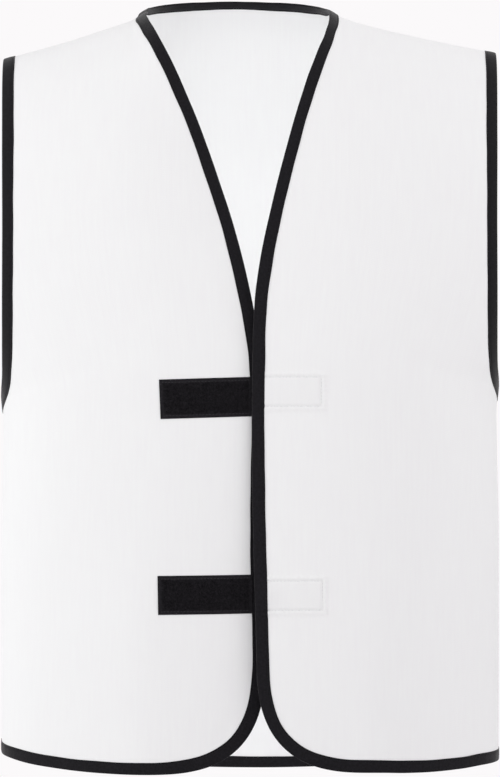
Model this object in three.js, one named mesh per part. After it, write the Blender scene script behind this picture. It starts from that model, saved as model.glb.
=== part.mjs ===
import * as THREE from 'three';

// Identification vest, as worn. Sizes are in millimetres.
// The wearer's left is +X, the front is -Y and up is +Z.
// The origin lies between the shoulders, at the middle height of the shoulder line.

// Cloth and tape
const CLOTH = 1.0;
const TAPE_LAYER = 1.0;
const CLEARANCE = 0.3;
const BINDING_WIDTH = 11.2;
const BINDING_FOLD = 0.7;
const HOOK_LOOP_WIDTH = 35.5;
const LOOP_THICKNESS = 1.5;
const HOOK_THICKNESS = 1.0;

// Body
const HALF_WIDTH = 236.8;
const SECTION_POWER = 2.6;
const FRONT_ROLL = 190;
const BACK_ROLL = 108;
const LAP = 2.3;
const BORDER = BINDING_WIDTH + 0.5;

// Underarm
const UNDERARM_DROP = 325;
const UNDERARM_HALF_WIDTH = 237.6;

// Neck
const NECK_X = -12;
const NECK_HALF_WIDTH = 86.5;
const BACK_NECK_DEPTH = 60;
const BACK_NECK_POWER = 2.4;
const NECK_RISE_FADE = 90;

// Hem
const FRONT_HEM = { right: -693.8, left: -692.3 };
const SIDE_HEM = { right: -681.5, left: -689.5 };
const BACK_HEM = -714;
const FRONT_HEM_POWER = 4.3;
const BACK_HEM_POWER = 2.5;
const CORNER_RUN = 108;
const CORNER_RISE = 110;
const CORNER_POWER = 2.6;

// Number of facets
const HEM_FACETS = 7;
const CORNER_FACETS = 10;
const SIDE_SEAM_FACETS = 11;
const ARMHOLE_FACETS = 16;
const FRONT_EDGE_FACETS = SIDE_SEAM_FACETS + ARMHOLE_FACETS - CORNER_FACETS / 2;
const BACK_NECK_FACETS = 12;
const BACK_SHOULDER_FACETS = 6;
const TAPE_FACETS = { along: 6, across: 3 };

// Shoulder line seen from the front, carried on under the neck opening
const SHOULDER_LINE = [
  { x: -238, height: -21.3 },
  { x: -174, height: -4.5 },
  { x: -128, height: 9.9 },
  { x: -108, height: 16.2 },
  { x: -60, height: 22.5 },
  { x: -12, height: 25.5 },
  { x: 36, height: 24 },
  { x: 84, height: 18.5 },
  { x: 106, height: 11.8 },
  { x: 167, height: -2.5 },
  { x: 238, height: -16.8 },
];

// How far the cloth climbs toward the neck, by the distance from the middle of the neck
const NECK_RISE = [
  { from: 0, rise: 32.5 },
  { from: 42, rise: 29.8 },
  { from: 66, rise: 23.5 },
  { from: 79, rise: 15.5 },
  { from: 88, rise: 7.3 },
  { from: 99, rise: 0 },
];

// Half width of the armhole edge, down to the underarm
const ARMHOLE_HALF_WIDTH = [
  { drop: 0, half: 235.5 },
  { drop: 80, half: 233 },
  { drop: 180, half: 231.8 },
  { drop: 252, half: 231.8 },
  { drop: 297, half: 234 },
  { drop: UNDERARM_DROP, half: UNDERARM_HALF_WIDTH },
];

// Half width of the whole section, which the armholes cut into above the underarm
const SECTION_HALF_WIDTH = [
  { drop: 0, half: 272 },
  { drop: 150, half: 270 },
  { drop: 205, half: 264.5 },
  { drop: 248, half: 256.5 },
  { drop: 286, half: 246.5 },
  { drop: 308, half: 240.8 },
  { drop: UNDERARM_DROP, half: UNDERARM_HALF_WIDTH },
  { drop: 345, half: HALF_WIDTH },
  { drop: 780, half: HALF_WIDTH },
];

// How far the cloth stands from the middle plane, by its drop below the shoulder line
const FRONT_DEPTH = [
  { drop: 0, depth: 112 },
  { drop: 150, depth: 118 },
  { drop: 250, depth: 130 },
  { drop: 350, depth: 138 },
  { drop: 760, depth: 140 },
];
const BACK_DEPTH = [
  { drop: 0, depth: 118 },
  { drop: 120, depth: 130 },
  { drop: 350, depth: 132 },
  { drop: 780, depth: 128 },
];

// Free front edges, by the distance down the cloth from the shoulder line
const RIGHT_FRONT_EDGE = [
  { down: 0, x: -98.5 },
  { down: 72, x: -97.7 },
  { down: 94, x: -94 },
  { down: 144, x: -77.9 },
  { down: 195, x: -56.9 },
  { down: 239, x: -41.8 },
  { down: 278, x: -28.7 },
  { down: 316, x: -16.7 },
  { down: 353, x: -6.4 },
  { down: 398, x: 4 },
  { down: 445, x: 11.4 },
  { down: 495, x: 13.6 },
  { down: 600, x: 12.3 },
  { down: 715, x: 14 },
];
const LEFT_FRONT_EDGE = [
  { down: 0, x: 74.5 },
  { down: 73, x: 75.6 },
  { down: 109, x: 72 },
  { down: 143, x: 63.3 },
  { down: 174, x: 53.2 },
  { down: 239, x: 36.1 },
  { down: 297, x: 21.3 },
  { down: 353, x: 9.4 },
  { down: 390, x: 4.9 },
  { down: 427, x: 2.7 },
  { down: 520, x: 1.5 },
  { down: 620, x: 2.8 },
  { down: 715, x: 4.9 },
];

// Hook-and-loop tapes, seen from the front. Tilt is the rise from the outer end to the inner end.
const LOOP_STRIPS = [
  { name: 'loop_strip_upper', height: -346.7, outer: -82.4, inner: 1, tilt: 2.6 },
  { name: 'loop_strip_lower', height: -528, outer: -84, inner: 1.2, tilt: 1.5 },
];
const HOOK_PATCHES = [
  { name: 'hook_patch_upper', height: -340.4, outer: 70, inner: 14, tilt: 0 },
  { name: 'hook_patch_lower', height: -528.2, outer: 71.1, inner: 16, tilt: 0 },
];

const MATERIALS = {
  cloth: new THREE.MeshStandardMaterial({ name: 'white_cloth', color: 0xf3f3f5, roughness: 0.9 }),
  binding: new THREE.MeshStandardMaterial({ name: 'black_binding', color: 0x232226, roughness: 0.85 }),
  loop: new THREE.MeshStandardMaterial({ name: 'black_loop_tape', color: 0x171519, roughness: 0.95 }),
  hook: new THREE.MeshStandardMaterial({ name: 'white_hook_tape', color: 0xeeecef, roughness: 0.7 }),
};

const QUARTER_TURN = Math.PI / 2;

// Smooth curve through the rows of a table, without overshoot, held at its end values
function through(table, key, column) {
  const slope = (i) => (table[i + 1][column] - table[i][column]) / (table[i + 1][key] - table[i][key]);
  const last = table.length - 1;
  const tangents = table.map((row, i) => {
    if (i === 0) return slope(0);
    if (i === last) return slope(last - 1);
    if (slope(i - 1) * slope(i) <= 0) return 0;
    const before = row[key] - table[i - 1][key];
    const after = table[i + 1][key] - row[key];
    const total = 3 * (before + after);
    return total / ((2 * after + before) / slope(i - 1) + (after + 2 * before) / slope(i));
  });
  return (value) => {
    const at = THREE.MathUtils.clamp(value, table[0][key], table[last][key]);
    const next = Math.max(1, table.findIndex((row) => row[key] >= at));
    const a = table[next - 1];
    const b = table[next];
    const span = b[key] - a[key];
    const t = (at - a[key]) / span;
    const rise = b[column] - a[column];
    const eased = t * t * (3 - 2 * t);
    const bend = t * (1 - t) * ((1 - t) * tangents[next - 1] - t * tangents[next]) * span;
    return a[column] + rise * eased + bend;
  };
}

const shoulderLine = through(SHOULDER_LINE, 'x', 'height');
const neckRise = through(NECK_RISE, 'from', 'rise');

// Height that the cloth falls from; the climb toward the neck fades out below the shoulder line
function fallHeight(x, drop) {
  const fade = 1 - THREE.MathUtils.smoothstep(drop, 0, NECK_RISE_FADE);
  return shoulderLine(x) + neckRise(Math.abs(x - NECK_X)) * fade;
}

// Drop below the shoulder line of a point of the front view
function dropAt(x, z) {
  let drop = shoulderLine(x) - z;
  for (let i = 0; i < 60; i += 1) drop = Math.max(0, fallHeight(x, drop) - z);
  return drop;
}

// Unit superellipse: how far across and how far out it lies at an angle from the forward axis
function superellipse(angle, power) {
  const sine = Math.sin(angle);
  const cosine = Math.cos(angle);
  const radius = (Math.abs(sine) ** power + Math.abs(cosine) ** power) ** (-1 / power);
  return { across: radius * sine, out: radius * cosine };
}

const section = (turn) => superellipse(turn * QUARTER_TURN, SECTION_POWER);

function sectionTurn(across) {
  const clamped = THREE.MathUtils.clamp(across, -1, 1);
  const out = (1 - Math.abs(clamped) ** SECTION_POWER) ** (1 / SECTION_POWER);
  return Math.atan2(clamped, out) / QUARTER_TURN;
}

const halfWidth = through(SECTION_HALF_WIDTH, 'drop', 'half');
const armholeHalfWidth = through(ARMHOLE_HALF_WIDTH, 'drop', 'half');

// The armhole edge: how far around the section it lies at a drop below the shoulder line
const armholeTurn = (drop) => sectionTurn(armholeHalfWidth(drop) / halfWidth(drop));

// One face of the vest. Its cloth is placed by the turn around the section, from -1 at the
// right side to 1 at the left side, and by the distance down from the shoulder line.
class Face {
  constructor(toward, roll, depthTable, lap) {
    this.toward = toward;
    this.roll = roll;
    this.depth = through(depthTable, 'drop', 'depth');
    this.lap = lap;
  }

  drop(down) {
    const straight = this.roll * QUARTER_TURN;
    if (down < straight) return this.roll * (1 - Math.cos(down / this.roll));
    return this.roll + down - straight;
  }

  down(drop) {
    if (drop < this.roll) return this.roll * Math.acos(1 - Math.max(drop, 0) / this.roll);
    return this.roll * QUARTER_TURN + drop - this.roll;
  }

  point(turn, down) {
    const drop = this.drop(down);
    const reach = Math.sin(Math.min(down / this.roll, QUARTER_TURN));
    const { across, out } = section(turn);
    const x = halfWidth(drop) * across;
    const y = this.toward * (this.depth(drop) + this.lap) * out * reach;
    return new THREE.Vector3(x, y, fallHeight(x, drop) - drop);
  }

  slopes(turn, down) {
    const turnStep = 1e-3;
    const downStep = 0.2;
    const alongTurn = this.point(turn + turnStep, down).sub(this.point(turn - turnStep, down));
    const alongDown = this.point(turn, down + downStep).sub(this.point(turn, down - downStep));
    alongTurn.divideScalar(2 * turnStep);
    alongDown.divideScalar(2 * downStep);
    const normal = alongTurn.clone().cross(alongDown).multiplyScalar(this.toward).normalize();
    return { alongTurn, alongDown, normal };
  }

  normal(turn, down) {
    return this.slopes(turn, down).normal;
  }

  // Cloth place under a point of the front view
  placeAt(x, z) {
    const drop = dropAt(x, z);
    return { turn: sectionTurn(x / halfWidth(drop)), down: this.down(drop) };
  }

  // Cloth place at a distance across the front view and a distance down the cloth
  placeDown(x, down) {
    return { turn: sectionTurn(x / halfWidth(this.drop(down))), down };
  }
}

const FACES = {
  right: new Face(-1, FRONT_ROLL, FRONT_DEPTH, -LAP),
  left: new Face(-1, FRONT_ROLL, FRONT_DEPTH, LAP),
  back: new Face(1, BACK_ROLL, BACK_DEPTH, 0),
};

// Places at equal distances along a curve on the cloth
function evenly(face, curve, facets) {
  const steps = 400;
  const lengths = [0];
  let before = face.point(curve(0).turn, curve(0).down);
  for (let i = 1; i <= steps; i += 1) {
    const place = curve(i / steps);
    const here = face.point(place.turn, place.down);
    lengths.push(lengths[i - 1] + here.distanceTo(before));
    before = here;
  }
  const places = [];
  for (let k = 0; k <= facets; k += 1) {
    const target = (lengths[steps] * k) / facets;
    const i = Math.max(1, lengths.findIndex((length) => length >= target - 1e-9));
    const part = (target - lengths[i - 1]) / (lengths[i] - lengths[i - 1]);
    places.push(curve((i - 1 + part) / steps));
  }
  return places;
}

// The place beyond the end of an edge, mirrored across the seam that the end lies on
function beyondSeam(end, neighbour) {
  if (Math.abs(Math.abs(end.turn) - 1) < 1e-6) {
    return { turn: 2 * end.turn - neighbour.turn, down: neighbour.down };
  }
  return { turn: neighbour.turn, down: -neighbour.down };
}

// Stations along a bound edge: the edge itself and the border line on the cloth beside it.
// Inward is on the left of the edge, seen from outside, for side 1 and on the right for side -1.
function stationsAlong(face, places, side) {
  const last = places.length - 1;
  return places.map((place, i) => {
    const ahead = i === last ? beyondSeam(place, places[i - 1]) : places[i + 1];
    const behind = i === 0 ? beyondSeam(place, places[1]) : places[i - 1];
    const tangent = face.point(ahead.turn, ahead.down).sub(face.point(behind.turn, behind.down));
    const { alongTurn, alongDown, normal } = face.slopes(place.turn, place.down);
    const inward = normal.clone().cross(tangent).normalize().multiplyScalar(side * BORDER);
    const tt = alongTurn.dot(alongTurn);
    const td = alongTurn.dot(alongDown);
    const dd = alongDown.dot(alongDown);
    const byTurn = inward.dot(alongTurn);
    const byDown = inward.dot(alongDown);
    const scale = 1 / (tt * dd - td * td);
    const border = {
      turn: place.turn + (dd * byTurn - td * byDown) * scale,
      down: place.down + (tt * byDown - td * byTurn) * scale,
    };
    return {
      border,
      edgePoint: face.point(place.turn, place.down),
      edgeNormal: normal,
      borderPoint: face.point(border.turn, border.down),
      borderNormal: face.normal(border.turn, border.down),
    };
  });
}

// A point of a station, at a distance in from the edge and a height off the middle of the cloth
function stationPoint(station, inward, height) {
  const t = inward / BORDER;
  const normal = station.edgeNormal.clone().lerp(station.borderNormal, t).normalize();
  return station.edgePoint.clone().lerp(station.borderPoint, t).addScaledVector(normal, height);
}

// Whether the quad between two stations is split from the first one's edge to the other's border
function splitsForward(station, next) {
  const forward = station.edgePoint.distanceTo(next.borderPoint);
  const backward = next.edgePoint.distanceTo(station.borderPoint);
  return forward < backward;
}

// Two triangles of a quad, split from its first corner or from its second
function splitQuad([a, b, c, d], fromFirst) {
  if (fromFirst) return [[a, b, c], [a, c, d]];
  return [[a, b, d], [b, c, d]];
}

// Bound edges of the three panels

function frontStations(face, sideTurn, edgeTable, frontHem, sideHem) {
  const edgeAt = through(edgeTable, 'down', 'x');
  const cornerTop = frontHem + CORNER_RISE;
  const edgeX = edgeTable[edgeTable.length - 1].x;
  const cornerDown = face.down(dropAt(edgeX, cornerTop));
  const hemHeight = (x) => frontHem + (sideHem - frontHem) * Math.abs(x / HALF_WIDTH) ** FRONT_HEM_POWER;
  const cornerX = edgeX + sideTurn * CORNER_RUN;
  const cornerTurn = sectionTurn(cornerX / HALF_WIDTH);
  const hem = (t) => {
    const x = HALF_WIDTH * section(THREE.MathUtils.lerp(sideTurn, cornerTurn, t)).across;
    return face.placeAt(x, hemHeight(x));
  };
  const corner = (t) => {
    const { across, out } = superellipse(t * QUARTER_TURN, CORNER_POWER);
    const x = edgeX + sideTurn * CORNER_RUN * (1 - across);
    const base = hemHeight(x);
    return face.placeAt(x, base + (cornerTop - base) * (1 - out));
  };
  const edge = (t) => {
    const down = cornerDown * (1 - t);
    return face.placeDown(edgeAt(down), down);
  };
  const places = [
    ...evenly(face, hem, HEM_FACETS),
    ...evenly(face, corner, CORNER_FACETS).slice(1),
    ...evenly(face, edge, FRONT_EDGE_FACETS).slice(1),
  ];
  return stationsAlong(face, places, -sideTurn);
}

function armholeStations(face, sideTurn) {
  const curve = (t) => {
    const down = face.down(UNDERARM_DROP) * (1 - t ** SECTION_POWER);
    return { turn: sideTurn * armholeTurn(face.drop(down)), down };
  };
  return stationsAlong(face, evenly(face, curve, ARMHOLE_FACETS), sideTurn * -face.toward);
}

function backNeckStations(face) {
  const curve = (t) => {
    const { across, out } = superellipse((2 * t - 1) * QUARTER_TURN, BACK_NECK_POWER);
    return face.placeDown(NECK_X + NECK_HALF_WIDTH * across, BACK_NECK_DEPTH * Math.max(out, 0));
  };
  return stationsAlong(face, evenly(face, curve, BACK_NECK_FACETS), 1);
}

function backHemStations(face) {
  const facets = 2 * BACK_SHOULDER_FACETS + BACK_NECK_FACETS;
  const curve = (t) => {
    const { across } = section(2 * t - 1);
    const side = across < 0 ? SIDE_HEM.right : SIDE_HEM.left;
    const height = BACK_HEM + (side - BACK_HEM) * Math.abs(across) ** BACK_HEM_POWER;
    return face.placeAt(HALF_WIDTH * across, height);
  };
  return stationsAlong(face, evenly(face, curve, facets), -1);
}

// Cloth of one panel: a net of places, thickened on both sides

class PanelNet {
  constructor(face) {
    this.face = face;
    this.points = [];
    this.normals = [];
    this.triangles = [];
  }

  add(point, normal) {
    const seamSide = (this.face.toward * CLEARANCE) / 2;
    const placed = point.clone();
    if (placed.y * this.face.toward < CLEARANCE / 2) placed.y = seamSide;
    this.points.push(placed);
    this.normals.push(normal);
    return this.points.length - 1;
  }

  addPlace(place) {
    const { turn, down } = place;
    return this.add(this.face.point(turn, down), this.face.normal(turn, down));
  }

  // Adds a patch of triangles, all turned the way that makes them face outward
  addPatch(triangles) {
    const facing = triangles.reduce((sum, triangle) => sum + this.outwardArea(triangle), 0);
    triangles.forEach(([a, b, c]) => this.triangles.push(facing < 0 ? [a, c, b] : [a, b, c]));
  }

  outwardArea([a, b, c]) {
    const along = this.points[b].clone().sub(this.points[a]);
    const across = this.points[c].clone().sub(this.points[a]);
    return along.cross(across).dot(this.normals[a]);
  }

  // Strip from the border line out to the raw edge inside the fold of the binding
  bindStrip(stations, border) {
    const raw = BINDING_FOLD + TAPE_LAYER / 2;
    const t = raw / BORDER;
    const edge = stations.map((station) => {
      const normal = station.edgeNormal.clone().lerp(station.borderNormal, t).normalize();
      return this.add(stationPoint(station, raw, 0), normal);
    });
    const triangles = edge.slice(1).flatMap((next, i) => {
      const quad = [edge[i], next, border[i + 1], border[i]];
      return splitQuad(quad, splitsForward(stations[i], stations[i + 1]));
    });
    this.addPatch(triangles);
  }

  // Coons net between four sides given as lists of places; returns the indices by row and column
  fill(bottom, right, top, left) {
    const columns = bottom.length - 1;
    const rows = left.length - 1;
    const net = [];
    for (let j = 0; j <= rows; j += 1) {
      const v = j / rows;
      const row = [];
      for (let i = 0; i <= columns; i += 1) {
        const u = i / columns;
        const blend = (key) => {
          const across = left[j][key] * (1 - u) + right[j][key] * u;
          const upward = bottom[i][key] * (1 - v) + top[i][key] * v;
          const low = bottom[0][key] * (1 - u) + bottom[columns][key] * u;
          const high = top[0][key] * (1 - u) + top[columns][key] * u;
          return across + upward - low * (1 - v) - high * v;
        };
        row.push(this.addPlace({ turn: blend('turn'), down: blend('down') }));
      }
      net.push(row);
    }
    const triangles = [];
    for (let j = 0; j < rows; j += 1) {
      for (let i = 0; i < columns; i += 1) {
        const quad = [net[j][i], net[j][i + 1], net[j + 1][i + 1], net[j + 1][i]];
        const [a, b, c, d] = quad.map((corner) => this.points[corner]);
        triangles.push(...splitQuad(quad, a.distanceTo(c) < b.distanceTo(d)));
      }
    }
    this.addPatch(triangles);
    return net;
  }

  // Solid between two heights off the middle of the cloth
  geometry(low = -CLOTH / 2, high = CLOTH / 2) {
    return thicken(this.points, this.normals, this.triangles, low, high);
  }
}

// Closed solid between two heights over a net of triangles
function thicken(points, normals, triangles, low, high) {
  const count = points.length;
  const raised = (height) => points.flatMap((point, i) => {
    return point.clone().addScaledVector(normals[i], height).toArray();
  });
  const positions = [...raised(high), ...raised(low)];
  const edges = new Map();
  const index = [];
  triangles.forEach(([a, b, c]) => {
    index.push(a, b, c, a + count, c + count, b + count);
    [[a, b], [b, c], [c, a]].forEach(([from, to]) => edges.set(`${from},${to}`, [from, to]));
  });
  edges.forEach(([from, to]) => {
    if (edges.has(`${to},${from}`)) return;
    index.push(from, from + count, to + count, from, to + count, to);
  });
  return solid(positions, index);
}

function solid(positions, index) {
  const geometry = new THREE.BufferGeometry();
  geometry.setAttribute('position', new THREE.Float32BufferAttribute(positions, 3));
  geometry.setIndex(index);
  geometry.computeVertexNormals();
  return geometry;
}

// Binding: a tape folded around the edge, as a closed loop of equal cross-sections
const BINDING_SECTION = (() => {
  const slot = CLOTH / 2 + CLEARANCE;
  const outside = slot + TAPE_LAYER;
  const raw = BINDING_FOLD + TAPE_LAYER / 2 - CLEARANCE;
  return [
    { inward: BINDING_WIDTH, height: slot },
    { inward: BINDING_WIDTH, height: outside },
    { inward: BINDING_FOLD, height: outside },
    { inward: 0, height: slot },
    { inward: 0, height: -slot },
    { inward: BINDING_FOLD, height: -outside },
    { inward: BINDING_WIDTH, height: -outside },
    { inward: BINDING_WIDTH, height: -slot },
    { inward: raw, height: -slot },
    { inward: raw, height: slot },
  ];
})();

function bindingGeometry(stations) {
  const corners = BINDING_SECTION.length;
  const count = stations.length;
  const positions = [];
  stations.forEach((station) => {
    BINDING_SECTION.forEach(({ inward, height }) => {
      positions.push(...stationPoint(station, inward, height).toArray());
    });
  });
  const index = [];
  for (let i = 0; i < count; i += 1) {
    const next = (i + 1) % count;
    const forward = splitsForward(stations[i], stations[next]);
    for (let k = 0; k < corners; k += 1) {
      const beside = (k + 1) % corners;
      const goesInward = BINDING_SECTION[beside].inward > BINDING_SECTION[k].inward;
      const quad = [i * corners + k, i * corners + beside, next * corners + beside, next * corners + k];
      index.push(...splitQuad(quad, forward === goesInward).flat());
    }
  }
  return outward(positions, index);
}

// Turns the faces outward when the volume they enclose comes out negative
function outward(positions, index) {
  const corner = (i) => new THREE.Vector3().fromArray(positions, 3 * index[i]);
  let volume = 0;
  for (let i = 0; i < index.length; i += 3) volume += corner(i).dot(corner(i + 1).cross(corner(i + 2)));
  if (volume > 0) return solid(positions, index);
  const flipped = [];
  for (let i = 0; i < index.length; i += 3) flipped.push(index[i], index[i + 2], index[i + 1]);
  return solid(positions, flipped);
}

// Flat tape laid on one side of the cloth
function tapeGeometry(face, tape, low, high) {
  const { along, across } = TAPE_FACETS;
  const net = new PanelNet(face);
  for (let j = 0; j <= across; j += 1) {
    for (let i = 0; i <= along; i += 1) {
      const u = i / along;
      const x = THREE.MathUtils.lerp(tape.outer, tape.inner, u);
      const middle = tape.height + tape.tilt * (u - 0.5);
      net.addPlace(face.placeAt(x, middle + HOOK_LOOP_WIDTH * (j / across - 0.5)));
    }
  }
  const triangles = [];
  for (let j = 0; j < across; j += 1) {
    for (let i = 0; i < along; i += 1) {
      const a = j * (along + 1) + i;
      const b = a + along + 1;
      triangles.push([a, a + 1, b + 1], [a, b + 1, b]);
    }
  }
  net.addPatch(triangles);
  return net.geometry(low, high);
}

// Places from one place to another, in equal steps
function between(from, to, facets) {
  const places = [];
  for (let i = 0; i <= facets; i += 1) {
    places.push({
      turn: THREE.MathUtils.lerp(from.turn, to.turn, i / facets),
      down: THREE.MathUtils.lerp(from.down, to.down, i / facets),
    });
  }
  return places;
}

const borders = (stations) => stations.map((station) => station.border);

// The side of a panel from its hem up the side seam and along the armhole to the shoulder
function sideBorder(hemEnd, armhole) {
  const arm = borders(armhole);
  return [...between(hemEnd, arm[0], SIDE_SEAM_FACETS), ...arm.slice(1)];
}

function frontPanel(face, edge, armhole) {
  const net = new PanelNet(face);
  const edgeBorder = borders(edge);
  const columns = HEM_FACETS + CORNER_FACETS / 2;
  const bottom = edgeBorder.slice(0, columns + 1);
  const inner = edgeBorder.slice(columns);
  const side = sideBorder(bottom[0], armhole);
  const top = between(side[side.length - 1], inner[inner.length - 1], columns);
  const rows = net.fill(bottom, inner, top, side);
  net.bindStrip(edge, [...rows[0].slice(0, columns), ...rows.map((row) => row[columns])]);
  net.bindStrip(armhole, rows.slice(SIDE_SEAM_FACETS).map((row) => row[0]));
  return net.geometry();
}

function backPanel(face, hem, neck, armholes) {
  const net = new PanelNet(face);
  const bottom = borders(hem);
  const neckBorder = borders(neck);
  const right = sideBorder(bottom[0], armholes.right);
  const left = sideBorder(bottom[bottom.length - 1], armholes.left);
  const top = [
    ...between(right[right.length - 1], neckBorder[0], BACK_SHOULDER_FACETS),
    ...neckBorder.slice(1, -1),
    ...between(neckBorder[neckBorder.length - 1], left[left.length - 1], BACK_SHOULDER_FACETS),
  ];
  const rows = net.fill(bottom, left, top, right);
  const columns = bottom.length - 1;
  net.bindStrip(hem, rows[0]);
  const topRow = rows[rows.length - 1];
  net.bindStrip(neck, topRow.slice(BACK_SHOULDER_FACETS, BACK_SHOULDER_FACETS + BACK_NECK_FACETS + 1));
  net.bindStrip(armholes.right, rows.slice(SIDE_SEAM_FACETS).map((row) => row[0]));
  net.bindStrip(armholes.left, rows.slice(SIDE_SEAM_FACETS).map((row) => row[columns]));
  return net.geometry();
}

// Assembly

const frontEdge = {
  right: frontStations(FACES.right, -1, RIGHT_FRONT_EDGE, FRONT_HEM.right, SIDE_HEM.right),
  left: frontStations(FACES.left, 1, LEFT_FRONT_EDGE, FRONT_HEM.left, SIDE_HEM.left),
};
const frontArmhole = {
  right: armholeStations(FACES.right, -1),
  left: armholeStations(FACES.left, 1),
};
const backArmhole = {
  right: armholeStations(FACES.back, -1),
  left: armholeStations(FACES.back, 1),
};
const backNeck = backNeckStations(FACES.back);
const backHem = backHemStations(FACES.back);

// Joins runs of stations end to end into a closed loop; each run starts where the one before ended
const closedLoop = (...runs) => runs.flatMap((run) => run.slice(0, -1));

const edgeLoop = closedLoop(
  frontEdge.right,
  backNeck,
  [...frontEdge.left].reverse(),
  [...backHem].reverse(),
);
const armholeLoop = (side) => closedLoop(frontArmhole[side], [...backArmhole[side]].reverse());

const vest = new THREE.Group();
vest.name = 'identification_vest';

function addPiece(name, geometry, material) {
  const piece = new THREE.Mesh(geometry, material);
  piece.name = name;
  vest.add(piece);
}

const outside = CLOTH / 2 + CLEARANCE;

addPiece('back_panel', backPanel(FACES.back, backHem, backNeck, backArmhole), MATERIALS.cloth);
addPiece('front_panel_right', frontPanel(FACES.right, frontEdge.right, frontArmhole.right), MATERIALS.cloth);
addPiece('front_panel_left', frontPanel(FACES.left, frontEdge.left, frontArmhole.left), MATERIALS.cloth);
addPiece('edge_binding', bindingGeometry(edgeLoop), MATERIALS.binding);
addPiece('armhole_binding_right', bindingGeometry(armholeLoop('right')), MATERIALS.binding);
addPiece('armhole_binding_left', bindingGeometry(armholeLoop('left')), MATERIALS.binding);
LOOP_STRIPS.forEach((strip) => {
  addPiece(strip.name, tapeGeometry(FACES.right, strip, outside, outside + LOOP_THICKNESS), MATERIALS.loop);
});
HOOK_PATCHES.forEach((patch) => {
  addPiece(patch.name, tapeGeometry(FACES.left, patch, -outside - HOOK_THICKNESS, -outside), MATERIALS.hook);
});

export default vest;
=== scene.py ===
"""Identification vest, shown as worn.

Three panels of white knitted cloth, black folded tape on every edge, two black loop strips on the
outside of the wearer's right front and two white hook patches on the inside of the left front.
Sizes are in millimetres until a mesh is made. The wearer's left is +X, the front is -Y, up is +Z.
"""

import logging
import math
from collections.abc import Callable
from dataclasses import dataclass, field
from enum import Enum

import bmesh
import bpy
import numpy as np
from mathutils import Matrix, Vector

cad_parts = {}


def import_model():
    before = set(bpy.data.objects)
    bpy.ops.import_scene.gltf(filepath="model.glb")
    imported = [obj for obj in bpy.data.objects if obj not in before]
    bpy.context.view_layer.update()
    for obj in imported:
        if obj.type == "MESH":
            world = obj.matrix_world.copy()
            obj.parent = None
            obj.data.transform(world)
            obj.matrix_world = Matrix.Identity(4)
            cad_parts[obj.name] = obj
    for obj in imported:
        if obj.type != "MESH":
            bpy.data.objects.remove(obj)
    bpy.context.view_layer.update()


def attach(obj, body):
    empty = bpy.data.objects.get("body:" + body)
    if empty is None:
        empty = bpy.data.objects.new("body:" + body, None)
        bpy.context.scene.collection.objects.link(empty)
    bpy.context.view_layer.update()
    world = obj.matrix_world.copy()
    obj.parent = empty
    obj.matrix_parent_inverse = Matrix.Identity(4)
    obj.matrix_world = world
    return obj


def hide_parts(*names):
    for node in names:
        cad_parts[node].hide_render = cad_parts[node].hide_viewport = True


LOG = logging.getLogger("identification_vest")
MM = 0.001
QUARTER_TURN = math.pi / 2

# How finely curves are read, and the small steps that slopes are taken over
GIRTH_SAMPLES = 4001
GIRTH_REACH = 1.25
EDGE_SAMPLES = 3001
DROP_ROUNDS = 60
TURN_STEP = 1e-3
DOWN_STEP = 0.2
SEAM_TOLERANCE = 1e-5
# Phases that keep the waves of a slow change from lining up
WAVE_PHASE = 0.6
WAVE_SHIFT = 1.7
# Length that one turn counts as where a net is split
TURN_SPAN = 300.0
# Edges that bend more than this stay sharp in the shading
SHARP_ANGLE = math.radians(50)
# Blender's Wave Texture has this many radians in a unit of its scale
WAVE_UNIT = 20
# Points along the arc of a loop or a hook
ARC_POINTS = 6
# Inputs of a tree that aren't plain numbers
SOCKET_KINDS = {"Seed": "NodeSocketInt", "Finish": "NodeSocketMaterial"}

Array = np.ndarray
Span = tuple[float, float]
Rows = tuple[Span, ...]
Colour = tuple[float, float, float, float]
Socket = bpy.types.NodeSocket


class Side(Enum):
    """Side of the wearer; the value is the sign of X there."""

    RIGHT = -1
    LEFT = 1


class Slot(Enum):
    """Material slots that each piece is tagged with."""

    CLOTH = "white_cloth"
    BINDING = "black_binding"
    LOOP = "black_loop_tape"
    HOOK = "white_hook_tape"


# Curves and small sums


class SmoothTable:
    """Smooth curve through the rows of a table, without overshoot, held at its end values."""

    def __init__(self, rows: Rows) -> None:
        """Works out the tangent at each row.

        Args:
            rows: pairs of key and value, with rising keys.
        """
        self.keys = np.array([key for key, _ in rows], dtype=float)
        self.values = np.array([value for _, value in rows], dtype=float)
        self.spans = np.diff(self.keys)
        slopes = np.diff(self.values) / self.spans
        self.tangents = np.zeros_like(self.values)
        self.tangents[0] = slopes[0]
        self.tangents[-1] = slopes[-1]
        for i in range(1, len(rows) - 1):
            if slopes[i - 1] * slopes[i] > 0:
                before, after = self.spans[i - 1], self.spans[i]
                weight = (2 * after + before) / slopes[i - 1] + (after + 2 * before) / slopes[i]
                self.tangents[i] = 3 * (before + after) / weight

    def __call__(self, keys: Array | float) -> Array:
        """Reads the curve.

        Args:
            keys: where to read it.

        Returns:
            The value at each key.
        """
        at = np.clip(np.asarray(keys, dtype=float), self.keys[0], self.keys[-1])
        i = np.clip(np.searchsorted(self.keys, at) - 1, 0, len(self.spans) - 1)
        span = self.spans[i]
        t = (at - self.keys[i]) / span
        rise = self.values[i + 1] - self.values[i]
        bend = t * (1 - t) * ((1 - t) * self.tangents[i] - t * self.tangents[i + 1]) * span
        return self.values[i] + rise * t * t * (3 - 2 * t) + bend


def ease(low: float, high: float, value: Array) -> Array:
    """Smooth step from 0 at low to 1 at high."""
    t = np.clip((value - low) / (high - low), 0, 1)
    return t * t * (3 - 2 * t)


def bell(value: Array, width: float) -> Array:
    """Bell curve of a given width, 1 in the middle."""
    return np.exp(-((value / width) ** 2))


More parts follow.
